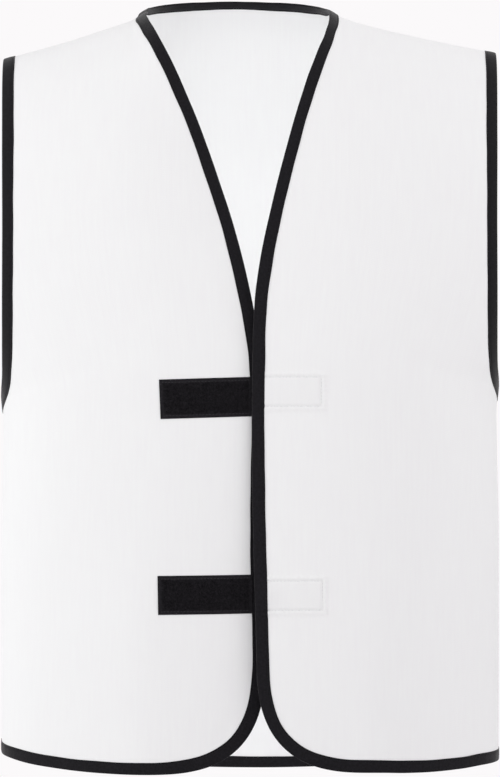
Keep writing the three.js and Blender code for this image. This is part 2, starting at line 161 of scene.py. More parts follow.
def unit(vectors: Array) -> Array:
    """Vectors scaled to length 1."""
    return vectors / np.linalg.norm(vectors, axis=-1, keepdims=True)


def lengths_along(points: Array) -> Array:
    """Length along a line from its first point to each of its points."""
    steps = np.linalg.norm(np.diff(points, axis=0), axis=-1)
    return np.concatenate([[0.0], np.cumsum(steps)])


def wander(length: Array, waves: Rows) -> Array:
    """Slow irregular change along a length.

    Args:
        length: distance along, in millimetres.
        waves: pairs of wavelength in millimetres and share of the whole.

    Returns:
        A value around 0 for each distance.
    """
    total = np.zeros_like(length)
    for i, (wavelength, share) in enumerate(waves):
        total += share * np.sin(2 * math.pi * length / wavelength + WAVE_SHIFT * i * i + WAVE_PHASE)
    return total


def superellipse(angle: Array, power: float) -> tuple[Array, Array]:
    """Unit superellipse.

    Args:
        angle: angle from the forward axis, in radians.
        power: 2 for a circle, more for a squarer form.

    Returns:
        How far across and how far out it lies at the angle.
    """
    sine, cosine = np.sin(angle), np.cos(angle)
    radius = (np.abs(sine) ** power + np.abs(cosine) ** power) ** (-1 / power)
    return radius * sine, radius * cosine


# The form that the cloth takes


@dataclass
class WornForm:
    """Sizes of the vest as worn, and the sums that all its faces share."""

    section_power: float = 2.6
    half_width: float = 236.8
    section_depth: float = 138.0
    underarm_drop: float = 325.0
    neck_x: float = -12.0
    neck_half_width: float = 86.5
    neck_rise_fade: float = 90.0
    # The back climbs more than the fronts up to so far past the neck, and from so far down the cloth
    climb_reach: Span = (4.0, 40.0)
    climb_run: float = 16.0
    # Columns: x, height of the shoulder line
    shoulder_rows: Rows = (
        (-238, -22.7), (-174, -5.0), (-128, 9.9), (-108, 16.2), (-60, 22.5), (-12, 25.5),
        (36, 24), (84, 18.5), (106, 11.8), (167, -2.5), (238, -16.8),
    )
    # Columns: distance from the middle of the neck, climb toward the neck
    neck_rise_rows: Rows = ((0, 31), (42, 28), (66, 21), (79, 12), (86.5, 5.6), (99, 0))
    # Columns: distance from the middle of the neck, -X first, climb toward the back neck
    back_rise_rows: Rows = (
        (-99, 4.5), (-93, 8.6), (-86.5, 11.3), (-83, 14.4), (-78, 18.4), (-69, 23.4), (-56, 28.5),
        (-39, 32.4), (-13, 34.3), (13, 33.8), (39, 30.9), (56, 26.4), (69, 20.9), (78, 15.6), (83, 11.5),
        (86.5, 8), (99, 4),
    )
    # Columns: drop below the shoulder line, half width at the armhole edge
    armhole_rows: Rows = ((0, 235.5), (80, 233), (180, 231.6), (252, 232.0), (297, 233.0), (325, 237.0))
    # Columns: drop below the shoulder line, half width of the whole section; the low rows are for both
    front_section_rows: Rows = (
        (0, 272), (120, 276), (180, 274), (230, 265.5), (270, 254.5), (300, 244.8),
    )
    back_section_rows: Rows = (
        (0, 272), (120, 271), (180, 266.5), (230, 258.5), (270, 249), (300, 241.6),
    )
    low_section_rows: Rows = ((325, 237), (350, 235.2), (390, 235.6), (460, 236.6), (780, 236.8))
    girth_turns: Array = field(init=False)
    girth_lengths: Array = field(init=False)

    def __post_init__(self) -> None:
        """Makes the smooth curves and the table of lengths around the section."""
        self.shoulder_line = SmoothTable(self.shoulder_rows)
        self.neck_rise = SmoothTable(self.neck_rise_rows)
        self.back_rise = SmoothTable(self.back_rise_rows)
        self.armhole_half = SmoothTable(self.armhole_rows)
        self.girth_turns = np.linspace(-GIRTH_REACH, GIRTH_REACH, GIRTH_SAMPLES)
        across, out = self.section(self.girth_turns)
        lengths = lengths_along(np.stack([across * self.half_width, out * self.section_depth], axis=-1))
        self.girth_lengths = lengths - lengths[len(lengths) // 2]

    def section(self, turn: Array) -> tuple[Array, Array]:
        """How far across and how far out the section lies at a turn, -1 right to 1 left."""
        return superellipse(turn * QUARTER_TURN, self.section_power)

    def section_turn(self, across: Array) -> Array:
        """The turn that lies so far across the section.

        Args:
            across: share of the half width, -1 to 1.

        Returns:
            The turn, -1 to 1.
        """
        clipped = np.clip(across, -1, 1)
        out = (1 - np.abs(clipped) ** self.section_power) ** (1 / self.section_power)
        return np.arctan2(clipped, out) / QUARTER_TURN

    def around(self, turn: Array) -> Array:
        """Length around the section from the middle of the face."""
        return np.interp(turn, self.girth_turns, self.girth_lengths)

    def fall_height(self, x: Array, drop: Array) -> Array:
        """Height that the cloth falls from; the climb toward the neck fades out below it."""
        fade = 1 - ease(0, self.neck_rise_fade, drop)
        return self.shoulder_line(x) + self.neck_rise(np.abs(x - self.neck_x)) * fade

    def drop_at(self, x: Array, z: Array) -> Array:
        """Drop below the shoulder line of points of the front view.

        Args:
            x: points across the front view.
            z: heights of the points.

        Returns:
            The drop at each point.
        """
        drop = np.maximum(self.shoulder_line(x) - z, 0)
        for _ in range(DROP_ROUNDS):
            drop = np.maximum(self.fall_height(x, drop) - z, 0)
        return drop

    def back_climb(self, x: Array, down: Array, drop: Array) -> Array:
        """How much more the back climbs toward the neck than the fronts do, from the seam on.

        Args:
            x: points across the front view.
            down: distance down the cloth.
            drop: drop below the shoulder line.

        Returns:
            The height to add at each point.
        """
        offset = x - self.neck_x
        more = self.back_rise(offset) - self.neck_rise(np.abs(offset))
        near = 1 - ease(*self.climb_reach, np.abs(offset) - self.neck_half_width)
        return more * near * ease(0, self.climb_run, down) * (1 - ease(0, self.neck_rise_fade, drop))


@dataclass(frozen=True)
class Fold:
    """Soft fold that runs down a face: a ridge, or a valley where the height is below 0."""

    turn_top: float
    turn_bottom: float
    top: float
    bottom: float
    width: float
    height: float


@dataclass(frozen=True)
class FrontDip:
    """How a front sinks toward its free edge, where nothing holds it out."""

    side: Side
    edge: SmoothTable
    depth: SmoothTable
    width: float
    power: float = 1.5

    def height(self, down: Array, x: Array) -> Array:
        """Height of the cloth off the plain form, below 0 near the edge."""
        inside = np.maximum((self.edge(down) - x) * -self.side.value, 0)
        return -self.depth(down) * np.clip(1 - inside / self.width, 0, 1) ** self.power


@dataclass(frozen=True)
class SewnPatch:
    """Rectangle of tape sewn behind the cloth, seen from the front, and the marks it leaves.

    A run is the stretch over which a mark comes up or fades.
    """

    left: float
    right: float
    middle: float
    width: float
    bulge: float
    binding_edge: float = 14.3
    stitch_inset: float = 4.3
    lift: float = 0.6
    groove: float = 1.0
    groove_width: float = 0.95
    pucker: float = 0.2
    pucker_pitch: float = 4.4
    pucker_reach: float = 6.0
    pucker_start: float = 2.0
    lift_run: Span = (-1.1, 1.3)
    fade_run: Span = (-1.7, 0.3)
    bulge_inset: float = 1.0
    bulge_size: Span = (9.0, 8.0)

    def outside(self, x: Array, z: Array, inset: float) -> tuple[Array, Array]:
        """Distance outside the rectangle, less than 0 inside, and the place along its sides.

        Args:
            x: points across the front view.
            z: heights of the points.
            inset: how far in from the tape's edges the rectangle lies.

        Returns:
            The distances and the places along the nearest side.
        """
        centre = (self.left + self.right) / 2
        past_x = np.abs(x - centre) - (self.right - self.left) / 2 + inset
        past_z = np.abs(z - self.middle) - self.width / 2 + inset
        beyond = np.hypot(np.maximum(past_x, 0), np.maximum(past_z, 0))
        return beyond + np.minimum(np.maximum(past_x, past_z), 0), np.where(past_z > past_x, x, z)

    def height(self, x: Array, z: Array) -> Array:
        """Height of the cloth off the plain form: the tape's lift, the groove, the puckers and the bulge.

        Args:
            x: points across the front view.
            z: heights of the points.

        Returns:
            The height at each point, which fades out toward the binding.
        """
        tape, _ = self.outside(x, z, 0.0)
        seam, along = self.outside(x, z, self.stitch_inset)
        puckers = np.cos(2 * math.pi * along / self.pucker_pitch) * bell(seam, self.pucker_reach)
        lift = self.lift * (1 - ease(*self.lift_run, tape))
        groove = self.groove * bell(seam, self.groove_width)
        marks = lift - groove + self.pucker * puckers * ease(0, self.pucker_start, seam)
        past_binding = x - self.binding_edge
        wide, high = self.bulge_size
        bulge = self.bulge * bell(past_binding - self.bulge_inset, wide) * bell(z - self.middle, high)
        return marks * ease(*self.fade_run, past_binding) + bulge


@dataclass
class Relief:
    """Everything that lifts the cloth of one face off its plain form.

    A fold comes up over a share of its length, the fold run, and fades over the side run at a side seam.
    """

    form: WornForm
    folds: tuple[Fold, ...]
    dips: tuple[FrontDip, ...] = ()
    patches: tuple[SewnPatch, ...] = ()
    seam_depth: float = 0.4
    seam_width: float = 1.3
    fold_run: float = 0.55
    side_run: float = 50.0

    def height(self, places: Array, points: Array) -> Array:
        """Height off the plain form.

        Args:
            places: turn and down of each point.
            points: the plain points.

        Returns:
            The height along the outward normal of each point.
        """
        turn, down = places[..., 0], places[..., 1]
        around = self.form.around(turn)
        from_side = self.form.around(1.0) - np.abs(around)
        height = np.zeros_like(down)
        for fold in self.folds:
            t = np.clip((down - fold.top) / (fold.bottom - fold.top), 0, 1)
            line = self.form.around(fold.turn_top + (fold.turn_bottom - fold.turn_top) * t)
            height += fold.height * bell(around - line, fold.width) * ease(0, self.fold_run, t)
        height *= ease(0, self.side_run, np.abs(from_side))
        for dip in self.dips:
            height += dip.height(down, points[..., 0])
        for patch in self.patches:
            height += patch.height(points[..., 0], points[..., 2])
        seam = bell(from_side, self.seam_width) + bell(down, self.seam_width)
        return height - self.seam_depth * seam


@dataclass
class Face:
    """Front or back of the vest. A place on it is a turn around the section and a distance down."""

    form: WornForm
    toward: float
    roll: float
    depth: SmoothTable
    halves: dict[Side, SmoothTable]
    relief: Relief
    lap: float = 0.0

    def half(self, drop: Array, x: Array | float) -> Array:
        """Half width of the whole section, on the side that x lies on."""
        return np.where(np.less(x, 0), self.halves[Side.RIGHT](drop), self.halves[Side.LEFT](drop))

    def drop(self, down: Array) -> Array:
        """Drop below the shoulder line.

        Args:
            down: distance down the cloth.

        Returns:
            The drop at each distance.
        """
        straight = self.roll * QUARTER_TURN
        rolled = self.roll * (1 - np.cos(np.minimum(down, straight) / self.roll))
        return rolled + np.maximum(down - straight, 0)

    def down(self, drop: Array) -> Array:
        """Distance down the cloth at a drop below the shoulder line."""
        rolled = self.roll * np.arccos(1 - np.clip(drop, 0, self.roll) / self.roll)
        return rolled + np.maximum(np.asarray(drop) - self.roll, 0)

    def plain(self, places: Array) -> Array:
        """Points of the form without folds.

        Args:
            places: turn and down of each point.

        Returns:
            The points.
        """
        turn, down = places[..., 0], places[..., 1]
        drop = self.drop(down)
        reach = np.sin(np.clip(down / self.roll, -QUARTER_TURN, QUARTER_TURN))
        across, out = self.form.section(turn)
        x = self.half(drop, turn) * across
        y = self.toward * (self.depth(drop) + self.lap) * out * reach
        z = self.form.fall_height(x, drop) - drop
        if self.toward > 0:
            z = z + self.form.back_climb(x, np.abs(down), drop)
        return np.stack([x, y, z], axis=-1)

    def slopes(self, surface: Callable[[Array], Array], places: Array) -> tuple[Array, Array]:
        """Change of a surface per turn and per millimetre down.

        Args:
            surface: gives the points at places.
            places: turn and down of each point.

        Returns:
            Both changes at each place.
        """
        turn_step, down_step = np.array([TURN_STEP, 0.0]), np.array([0.0, DOWN_STEP])
        along_turn = (surface(places + turn_step) - surface(places - turn_step)) / (2 * TURN_STEP)
        along_down = (surface(places + down_step) - surface(places - down_step)) / (2 * DOWN_STEP)
        return along_turn, along_down

    def outward(self, surface: Callable[[Array], Array], places: Array) -> Array:
        """Outward normals of a surface."""
        along_turn, along_down = self.slopes(surface, places)
        return unit(np.cross(along_turn, along_down)) * self.toward

    def folded(self, places: Array) -> Array:
        """Points in the middle of the cloth, folds included.

        Args:
            places: turn and down of each point.

        Returns:
            The points.
        """
        points = self.plain(places)
        height = self.relief.height(places, points)
        return points + self.outward(self.plain, places) * height[..., None]

    def raised(self, places: Array, height: Array | float) -> Array:
        """Points at a height off the middle of the cloth."""
        normals = self.outward(self.folded, places)
        return self.folded(places) + normals * np.broadcast_to(height, normals.shape[:-1])[..., None]

    def place_at(self, x: Array, z: Array) -> Array:
        """Places under points of the front view.

        Args:
            x: points across the front view.
            z: heights of the points.

        Returns:
            The places.
        """
        drop = self.form.drop_at(x, z)
        turn = self.form.section_turn(x / self.half(drop, x))
        return np.stack([turn, self.down(drop)], axis=-1)

    def place_down(self, x: Array, down: Array) -> Array:
        """Places at a distance across the front view and a distance down the cloth."""
        turn = self.form.section_turn(x / self.half(self.drop(down), x))
        return np.stack([turn, down], axis=-1)


# Edges of the panels


@dataclass
class Stations:
    """Places along a bound edge, and how a place moves for each millimetre in from the edge."""

    face: Face
    places: Array
    inward: Array
    tape: Array

    def inset(self, width: Array | float) -> Array:
        """Places at a distance in from the edge."""
        return self.places + self.inward * width

    def backwards(self) -> "Stations":
        """The same stations from the last to the first."""
        return Stations(self.face, self.places[::-1], self.inward[::-1], self.tape[::-1])


def evenly(face: Face, curve: Callable[[Array], Array], count: int) -> Array:
    """Places at equal distances along a curve on the cloth.

    Args:
        face: the face that the curve lies on.
        curve: gives the places for values from 0 to 1.
        count: number of steps.

    Returns:
        One place more than there are steps.
    """
    t = np.linspace(0, 1, EDGE_SAMPLES)
    lengths = lengths_along(face.plain(curve(t)))
    return curve(np.interp(np.linspace(0, lengths[-1], count + 1), lengths, t))


def between(start: Array, end: Array, count: int) -> Array:
    """Places from one place to another in equal steps."""
    return start + (end - start) * np.linspace(0, 1, count + 1)[:, None]


def mirrored(end: Array, neighbour: Array) -> Array:
    """The place beyond the end of an edge, mirrored across the seam that the end lies on.

    Args:
        end: place at the end.
        neighbour: the place before it.

    Returns:
        The place beyond.
    """
    if abs(abs(end[0]) - 1) < SEAM_TOLERANCE:
        return np.array([2 * end[0] - neighbour[0], neighbour[1]])
    return np.array([neighbour[0], -neighbour[1]])


def stations_along(face: Face, places: Array, side: float, tape: Rows) -> Stations:
    """Finds the way in from an edge.

    Args:
        face: the face that the edge lies on.
        places: places along the edge.
        side: 1 where inward is on the left of the edge, seen from outside, and -1 on the right.
        tape: width of the folded tape, by the number of the place.

    Returns:
        The stations.
    """
    first, last = mirrored(places[0], places[1]), mirrored(places[-1], places[-2])
    padded = face.plain(np.vstack([first, places, last]))
    along_turn, along_down = face.slopes(face.plain, places)
    normals = face.outward(face.plain, places)
    inward = side * unit(np.cross(normals, padded[2:] - padded[:-2]))
    tt, dd = (along_turn**2).sum(-1), (along_down**2).sum(-1)
    td = (along_turn * along_down).sum(-1)
    by_turn, by_down = (inward * along_turn).sum(-1), (inward * along_down).sum(-1)
    scale = 1 / (tt * dd - td * td)
    steps = np.stack([(dd * by_turn - td * by_down) * scale, (tt * by_down - td * by_turn) * scale], axis=-1)
    return Stations(face, places, steps, SmoothTable(tape)(np.arange(len(places))))


@dataclass(frozen=True)
class Counts:
    """How finely the edges are divided."""

    hem: int = 76
    corner: int = 58
    front_edge: int = 206
    side_seam: int = 116
    armhole: int = 119
    back_neck: int = 72
    back_shoulder: int = 36


@dataclass(frozen=True)
class HemSizes:
    """Heights of the hem and the shape of its rounded front corners."""

    front: float
    side: float
    sag: Rows
    back: float = -714.6
    front_power: float = 4.3
    back_power: float = 2.5
    corner_run: float = 108.0
    corner_rise: float = 110.0
    corner_power: float = 2.75


@dataclass(frozen=True)
class ArmholeSizes:
    """Depth of an armhole, how much wider out than the plain form it lies, and its folded tape."""

    drop: float
    wider: float
    tape: float
    wider_until: float = 280.0
    seam_leave: float = 0.03


# Sag columns: x, how far the hem lies off its plain line
HEMS = {
    Side.RIGHT: HemSizes(front=-693.8, side=-681.5, sag=(
        (-237, -0.9), (-225, -0.9), (-208, -1.4), (-180, -1.0), (-120, -0.7), (-98, -0.4), (-80, 0),
        (-50, 0.4),
    )),
    Side.LEFT: HemSizes(front=-692.3, side=-689.5, sag=(
        (70, 0.8), (105, 0.6), (124, 0.1), (143, -0.9), (172, -1.5), (200, -1.2), (218, -0.3), (237, -0.1),
    )),
}
COUNTS = Counts()
# Columns: number of the place from the right, width of the folded tape
EVEN_TAPE: Rows = ((0, 11.1), (400, 11.1))
NECK_TAPE: Rows = (
    (0, 11.8), (5, 10.2), (9, 9.8), (16, 11.7), (22, 11.2), (30, 10.1), (36, 9.9), (42, 10.2), (50, 11.4),
    (56, 11.8), (61, 9.9), (64, 9.1), (68, 9.5), (72, 10.6),
)
# Columns: number of the place from the side seam, width of the folded tape
FRONT_TAPES: dict[Side, Rows] = {
    Side.RIGHT: (
        (0, 11.0), (66, 11.1), (90, 12.2), (114, 12.7), (134, 12.0), (240, 11.8), (290, 11.0), (317, 10.6),
        (321, 11.2), (325, 12.3), (329, 12.7), (333, 12.2), (340, 11.8),
    ),
    Side.LEFT: (
        (0, 11.0), (60, 11.2), (84, 12.0), (120, 12.0), (140, 11.7), (240, 11.8), (280, 11.0), (301, 11.0),
        (309, 10.3), (317, 10.3), (325, 10.3), (340, 10.6),
    ),
}

ARMHOLES = {
    Side.RIGHT: ArmholeSizes(drop=326.0, wider=0.7, tape=12.2),
    Side.LEFT: ArmholeSizes(drop=321.0, wider=0.0, tape=11.4),
}
# Columns: number of the place from the underarm, how much wider the folded tape is there
ARMHOLE_TAPES: Rows = ((0, 0.6), (8, 2.0), (16, 2.6), (24, 2.3), (36, 1.2), (56, 0), (85, 0), (119, -1.5))
# Columns: distance down the cloth, x of the free edge
FRONT_EDGES: dict[Side, Rows] = {
    Side.RIGHT: (
        (0, -98.5), (41, -98.8), (63, -96.9), (84, -94.0), (104, -89.8), (122, -85.0), (137, -79.7),
        (150, -74.3), (174, -64.0), (195, -55.8), (239, -40.7), (278, -28), (316, -15.9), (353, -6),
        (398, 3.7), (445, 11), (495, 13.4), (600, 11.8), (715, 14.4),
    ),
    Side.LEFT: (
        (0, 74.5), (38, 75.5), (59, 75.4), (78, 74.5), (97, 72.3), (116, 69.4), (132, 65.3), (147, 61.2),
        (174, 52.5), (239, 35.3), (297, 20.9), (353, 9.1), (390, 4.3), (427, 2.5), (520, 1.7), (620, 3.2),
        (715, 5.9),
    ),
}


def front_edge_stations(face: Face, side: Side) -> Stations:
    """Stations of a front from the side seam along the hem, round the corner and up to the shoulder.

    Args:
        face: the front.
        side: the side that it is on.

    Returns:
        The stations.
    """
    form, hem, sign = face.form, HEMS[side], side.value
    rows = FRONT_EDGES[side]
    edge_x = rows[-1][1]
    corner_top = hem.front + hem.corner_rise
    corner_down = float(face.down(form.drop_at(np.array(edge_x), np.array(corner_top))))
    corner_x = edge_x + sign * hem.corner_run
    corner_turn = float(form.section_turn(np.array(corner_x / form.half_width)))
    edge_at, sag = SmoothTable(rows), SmoothTable(hem.sag)

    def hem_height(x: Array) -> Array:
        """Height of the hem across the front view."""
        plain = hem.front + (hem.side - hem.front) * np.abs(x / form.half_width) ** hem.front_power
        return plain + sag(x)

    def along_hem(t: Array) -> Array:
        """Hem from the side seam to the corner."""
        x = form.half_width * form.section(sign + (corner_turn - sign) * t)[0]
        return face.place_at(x, hem_height(x))

    def along_corner(t: Array) -> Array:
        """Rounded corner.

        Args:
            t: share of the way, 0 to 1.

        Returns:
            The places.
        """
        across, out = superellipse(t * QUARTER_TURN, hem.corner_power)
        x = edge_x + sign * hem.corner_run * (1 - across)
        base = hem_height(x)
        return face.place_at(x, base + (corner_top - base) * (1 - out))

    def along_edge(t: Array) -> Array:
        """Free edge from the corner up to the shoulder."""
        down = corner_down * (1 - t)
        return face.place_down(edge_at(down), down)

    places = np.vstack([
        evenly(face, along_hem, COUNTS.hem),
        evenly(face, along_corner, COUNTS.corner)[1:],
        evenly(face, along_edge, COUNTS.front_edge)[1:],
    ])
    return stations_along(face, places, side=-sign, tape=FRONT_TAPES[side])


def armhole_stations(face: Face, side: Side) -> Stations:
    """Stations of an armhole from the underarm up to the shoulder.

    Args:
        face: a front or the back.
        side: side of the armhole.

    Returns:
        The stations.
    """
    form, hole = face.form, ARMHOLES[side]

    def along(t: Array) -> Array:
        """Armhole edge.

        Args:
            t: share of the way, 0 to 1.

        Returns:
            The places.
        """
        down = face.down(hole.drop) * (1 - t**form.section_power)
        drop = face.drop(down)
        level = drop * form.underarm_drop / hole.drop
        wider = hole.wider * (1 - ease(hole.wider_until, form.underarm_drop, level))
        plain = (form.armhole_half(level) + wider) / face.half(drop, side.value)
        # The edge leaves the side seam at once, also where the section narrows more slowly
        across = np.minimum(plain, 1 - hole.seam_leave * (1 - level / form.underarm_drop))
        return np.stack([side.value * form.section_turn(across), down], axis=-1)

    places = evenly(face, along, COUNTS.armhole)
    tapes = tuple((place, hole.tape + more) for place, more in ARMHOLE_TAPES)
    return stations_along(face, places, side=side.value * -face.toward, tape=tapes)


def back_neck_stations(face: Face, depth: float = 60.0, power: float = 2.4) -> Stations:
    """Stations of the back neck from the right shoulder to the left one.

    Args:
        face: the back.
        depth: how far down the cloth the middle of the neck lies.
        power: 2 for a round neck, more for a squarer one.

    Returns:
        The stations.
    """

    def along(t: Array) -> Array:
        """Back neck edge.

        Args:
            t: share of the way, 0 to 1.

        Returns:
            The places.
        """
        across, out = superellipse((2 * t - 1) * QUARTER_TURN, power)
        x = face.form.neck_x + face.form.neck_half_width * across
        return face.place_down(x, depth * np.maximum(out, 0))

    return stations_along(face, evenly(face, along, COUNTS.back_neck), side=1, tape=NECK_TAPE)


def back_hem_stations(face: Face) -> Stations:
    """Stations of the back hem from the right side seam to the left one.

    Args:
        face: the back.

    Returns:
        The stations.
    """
    sides = HEMS[Side.RIGHT], HEMS[Side.LEFT]

    def along(t: Array) -> Array:
        """Back hem.

        Args:
            t: share of the way, 0 to 1.

        Returns:
            The places.
        """
        across, _ = face.form.section(2 * t - 1)
        side = np.where(across < 0, sides[0].side, sides[1].side)
        back = sides[0].back
        height = back + (side - back) * np.abs(across) ** sides[0].back_power
        return face.place_at(face.form.half_width * across, height)

    count = 2 * COUNTS.back_shoulder + COUNTS.back_neck
    return stations_along(face, evenly(face, along, count), side=-1, tape=EVEN_TAPE)


# Finishes


def linear(code: str) -> Colour:
    """Turns an sRGB hex colour to linear values with full alpha.

    Args:
        code: six hex digits after a # sign.

    Returns:
        Red, green, blue and alpha.
    """
    values = [int(code[i : i + 2], 16) / 255 for i in (1, 3, 5)]
    red, green, blue = (v / 12.92 if v <= 0.04045 else ((v + 0.055) / 1.055) ** 2.4 for v in values)
    return red, green, blue, 1.0


def add_node(
    tree: bpy.types.NodeTree, kind: str, sockets: dict[str | int, object] | None = None, **settings: object
) -> bpy.types.Node:
    """Adds a node with its settings and links.

    Args:
        tree: the tree that gets the node.
        kind: Blender's name of the node type.
        sockets: for each input, by name or number, a constant or an output to link from.
        **settings: properties of the node.

    Returns:
        The node.
    """
    node = tree.nodes.new(kind)
    for name, value in settings.items():
        setattr(node, name, value)
    for key, value in (sockets or {}).items():
        if isinstance(value, bpy.types.NodeSocket):
            tree.links.new(value, node.inputs[key])
        else:
            node.inputs[key].default_value = value
    return node


def blank_material(name: str) -> tuple[bpy.types.Material, bpy.types.NodeTree]:
    """Starts a material.

    Args:
        name: name of the material.

    Returns:
        The material and its empty node tree.
    """
    material = bpy.data.materials.new(name)
    material.use_nodes = True
    material.node_tree.nodes.clear()
    return material, material.node_tree


def bands(tree: bpy.types.NodeTree, vector: Socket, period: float, axis: str, **more: float) -> Socket:
    """Adds bands that repeat along an axis.

    Args:
        tree: the tree that gets the node.
        vector: coordinates in metres.
        period: distance from band to band in millimetres.
        axis: axis that the bands follow each other along.
        **more: constants for further inputs.

    Returns:
        The output of the bands.
    """
    sockets = {"Vector": vector, "Scale": 2 * math.pi / WAVE_UNIT / (period * MM), **more}
    return add_node(tree, "ShaderNodeTexWave", sockets, bands_direction=axis).outputs["Fac"]


def noise(
    tree: bpy.types.NodeTree, vector: Socket, scale: float, dimensions: str, **more: float
) -> Socket:
    """Adds soft noise.

    Args:
        tree: the tree that gets the node.
        vector: coordinates in metres.
        scale: number of spots in a metre.
        dimensions: 2D for a map and 3D for a body.
        **more: constants for further inputs.

    Returns:
        The output of the noise.
    """
    sockets = {"Vector": vector, "Scale": scale, **more}
    return add_node(tree, "ShaderNodeTexNoise", sockets, noise_dimensions=dimensions).outputs["Fac"]


def calculate(tree: bpy.types.NodeTree, operation: str, *values: Socket | float) -> Socket:
    """Adds a sum of one step and gives its output."""
    return add_node(tree, "ShaderNodeMath", dict(enumerate(values)), operation=operation).outputs[0]


def toned(tree: bpy.types.NodeTree, tone: Socket, span: Span, dark: str, light: str) -> Socket:
    """Adds a colour between two colours.

    Args:
        tree: the tree that gets the nodes.
        tone: what the colour follows.
        span: the tones that the dark and the light colour belong to.
        dark: hex colour.
        light: hex colour.

    Returns:
        The output of the colour.
    """
    tint = add_node(tree, "ShaderNodeMapRange", {"Value": tone, "From Min": span[0], "From Max": span[1]})
    mix = {0: tint.outputs[0], 6: linear(dark), 7: linear(light)}
    return add_node(tree, "ShaderNodeMix", mix, data_type="RGBA").outputs[2]


def bumped(tree: bpy.types.NodeTree, height: Socket, strength: float, distance: float) -> Socket:
    """Adds a bump of so many millimetres and gives the output of its normals."""
    sockets = {"Height": height, "Strength": strength, "Distance": distance * MM}
    return add_node(tree, "ShaderNodeBump", sockets).outputs[0]


def end_material(tree: bpy.types.NodeTree, sockets: dict[str, object], see_through: float = 0.0) -> None:
    """Ends a material with its shader.

    Args:
        tree: the tree of the material.
        sockets: inputs of the Principled shader.
        see_through: share of the light that comes through from the other side.
    """
    surface = add_node(tree, "ShaderNodeBsdfPrincipled", {"IOR": 1.5, **sockets}).outputs[0]
    if see_through:
        passed = {"Color": sockets["Base Color"], "Normal": sockets["Normal"]}
        through = add_node(tree, "ShaderNodeBsdfTranslucent", passed).outputs[0]
        surface = add_node(tree, "ShaderNodeMixShader", {0: see_through, 1: surface, 2: through}).outputs[0]
    add_node(tree, "ShaderNodeOutputMaterial", {"Surface": surface})


@dataclass(frozen=True)
class KnitCloth:
    """Warp-knit polyester: matt white, with fine upright wales and faint upright streaks."""

    name: str = "warp_knit_polyester_white"
    light: str = "#F5F6F6"
    dark: str = "#F3F3F4"
    wale: float = 1.3
    course: float = 1.7
    streak_width: float = 2.6
    streak_length: float = 45.0
    mottle: float = 60.0
    mottle_share: float = 0.25
    tones: Span = (0.3, 0.95)
    roughness: float = 0.88
    bump: float = 0.07
    bump_height: float = 0.4
    see_through: float = 0.15

    def material(self) -> bpy.types.Material:
        """Builds the material; its pattern follows the cloth's own map, in metres.

        Returns:
            The material.
        """
        material, tree = blank_material(self.name)
        cloth = add_node(tree, "ShaderNodeUVMap", uv_map="cloth").outputs[0]
        # The real wales are under half a millimetre wide; they are drawn wider so that they show
        wales, courses = bands(tree, cloth, self.wale, "X"), bands(tree, cloth, self.course, "Y")
        knit = calculate(tree, "MULTIPLY", wales, courses)
        stretch = (1 / (self.streak_width * MM), 1 / (self.streak_length * MM), 1.0)
        drawn_out = add_node(tree, "ShaderNodeMapping", {"Vector": cloth, "Scale": stretch}).outputs[0]
        streaks = noise(tree, drawn_out, 1.0, "2D", Detail=3.0, Roughness=0.6)
        mottle = noise(tree, cloth, 1 / (self.mottle * MM), "2D", Detail=2.0)
        tone = calculate(tree, "MULTIPLY_ADD", mottle, self.mottle_share, streaks)
        height = calculate(tree, "ADD", knit, streaks)
        # Thin cloth lets part of the light through, so the inside of the vest isn't dark
        end_material(tree, {
            "Base Color": toned(tree, tone, self.tones, self.dark, self.light),
            "Normal": bumped(tree, height, self.bump, self.bump_height), "Roughness": self.roughness,
            "Specular IOR Level": 0.2, "Sheen Weight": 0.04, "Sheen Roughness": 0.5,
        }, self.see_through)
        return material


@dataclass(frozen=True)
class WovenTape:
    """Woven polyester or nylon tape: matt, with ribs across its length and a little fuzz."""

    name: str
    light: str
    dark: str
    rib: float
    roughness: float
    specular: float
    sheen: float
    bump: float
    bump_height: float = 0.3
    fleck: float = 2.2
    thread_share: float = 0.8
    weave_share: float = 0.35
    tones: Span = (0.35, 0.85)
    see_through: float = 0.0

    def material(self) -> bpy.types.Material:
        """Builds the material; its ribs follow the tape's own map, in metres.

        Returns:
            The material.
        """
        material, tree = blank_material(self.name)
        tape = add_node(tree, "ShaderNodeUVMap", uv_map="cloth").outputs[0]
        ribs = bands(tree, tape, self.rib, "X", Distortion=1.2, Detail=1.0)
        threads = bands(tree, tape, self.thread_share * self.rib, "Y", Distortion=0.8)
        fleck = noise(tree, tape, 1 / (self.fleck * MM), "2D", Detail=4.0, Roughness=0.65)
        weave = calculate(tree, "MULTIPLY", ribs, threads)
        tone = calculate(tree, "MULTIPLY_ADD", weave, self.weave_share, fleck)
        end_material(tree, {
            "Base Color": toned(tree, tone, self.tones, self.dark, self.light),
            "Normal": bumped(tree, tone, self.bump, self.bump_height), "Roughness": self.roughness,
            "Specular IOR Level": self.specular, "Sheen Weight": self.sheen, "Sheen Roughness": 0.4,
        }, self.see_through)
        return material


@dataclass(frozen=True)
class SpunThread:
    """Spun polyester or nylon thread: round, slightly uneven in tone."""

    name: str
    light: str
    dark: str
    roughness: float = 0.7
    specular: float = 0.2
    slub: float = 3.0

    def material(self) -> bpy.types.Material:
        """Builds the material from Object coordinates.

        Returns:
            The material.
        """
        material, tree = blank_material(self.name)
        place = add_node(tree, "ShaderNodeTexCoord").outputs["Object"]
        slub = noise(tree, place, 1 / (self.slub * MM), "3D", Detail=2.0)
        end_material(tree, {
            "Base Color": toned(tree, slub, (0.0, 1.0), self.dark, self.light),
            "Roughness": self.roughness, "Specular IOR Level": self.specular,
        })
        return material


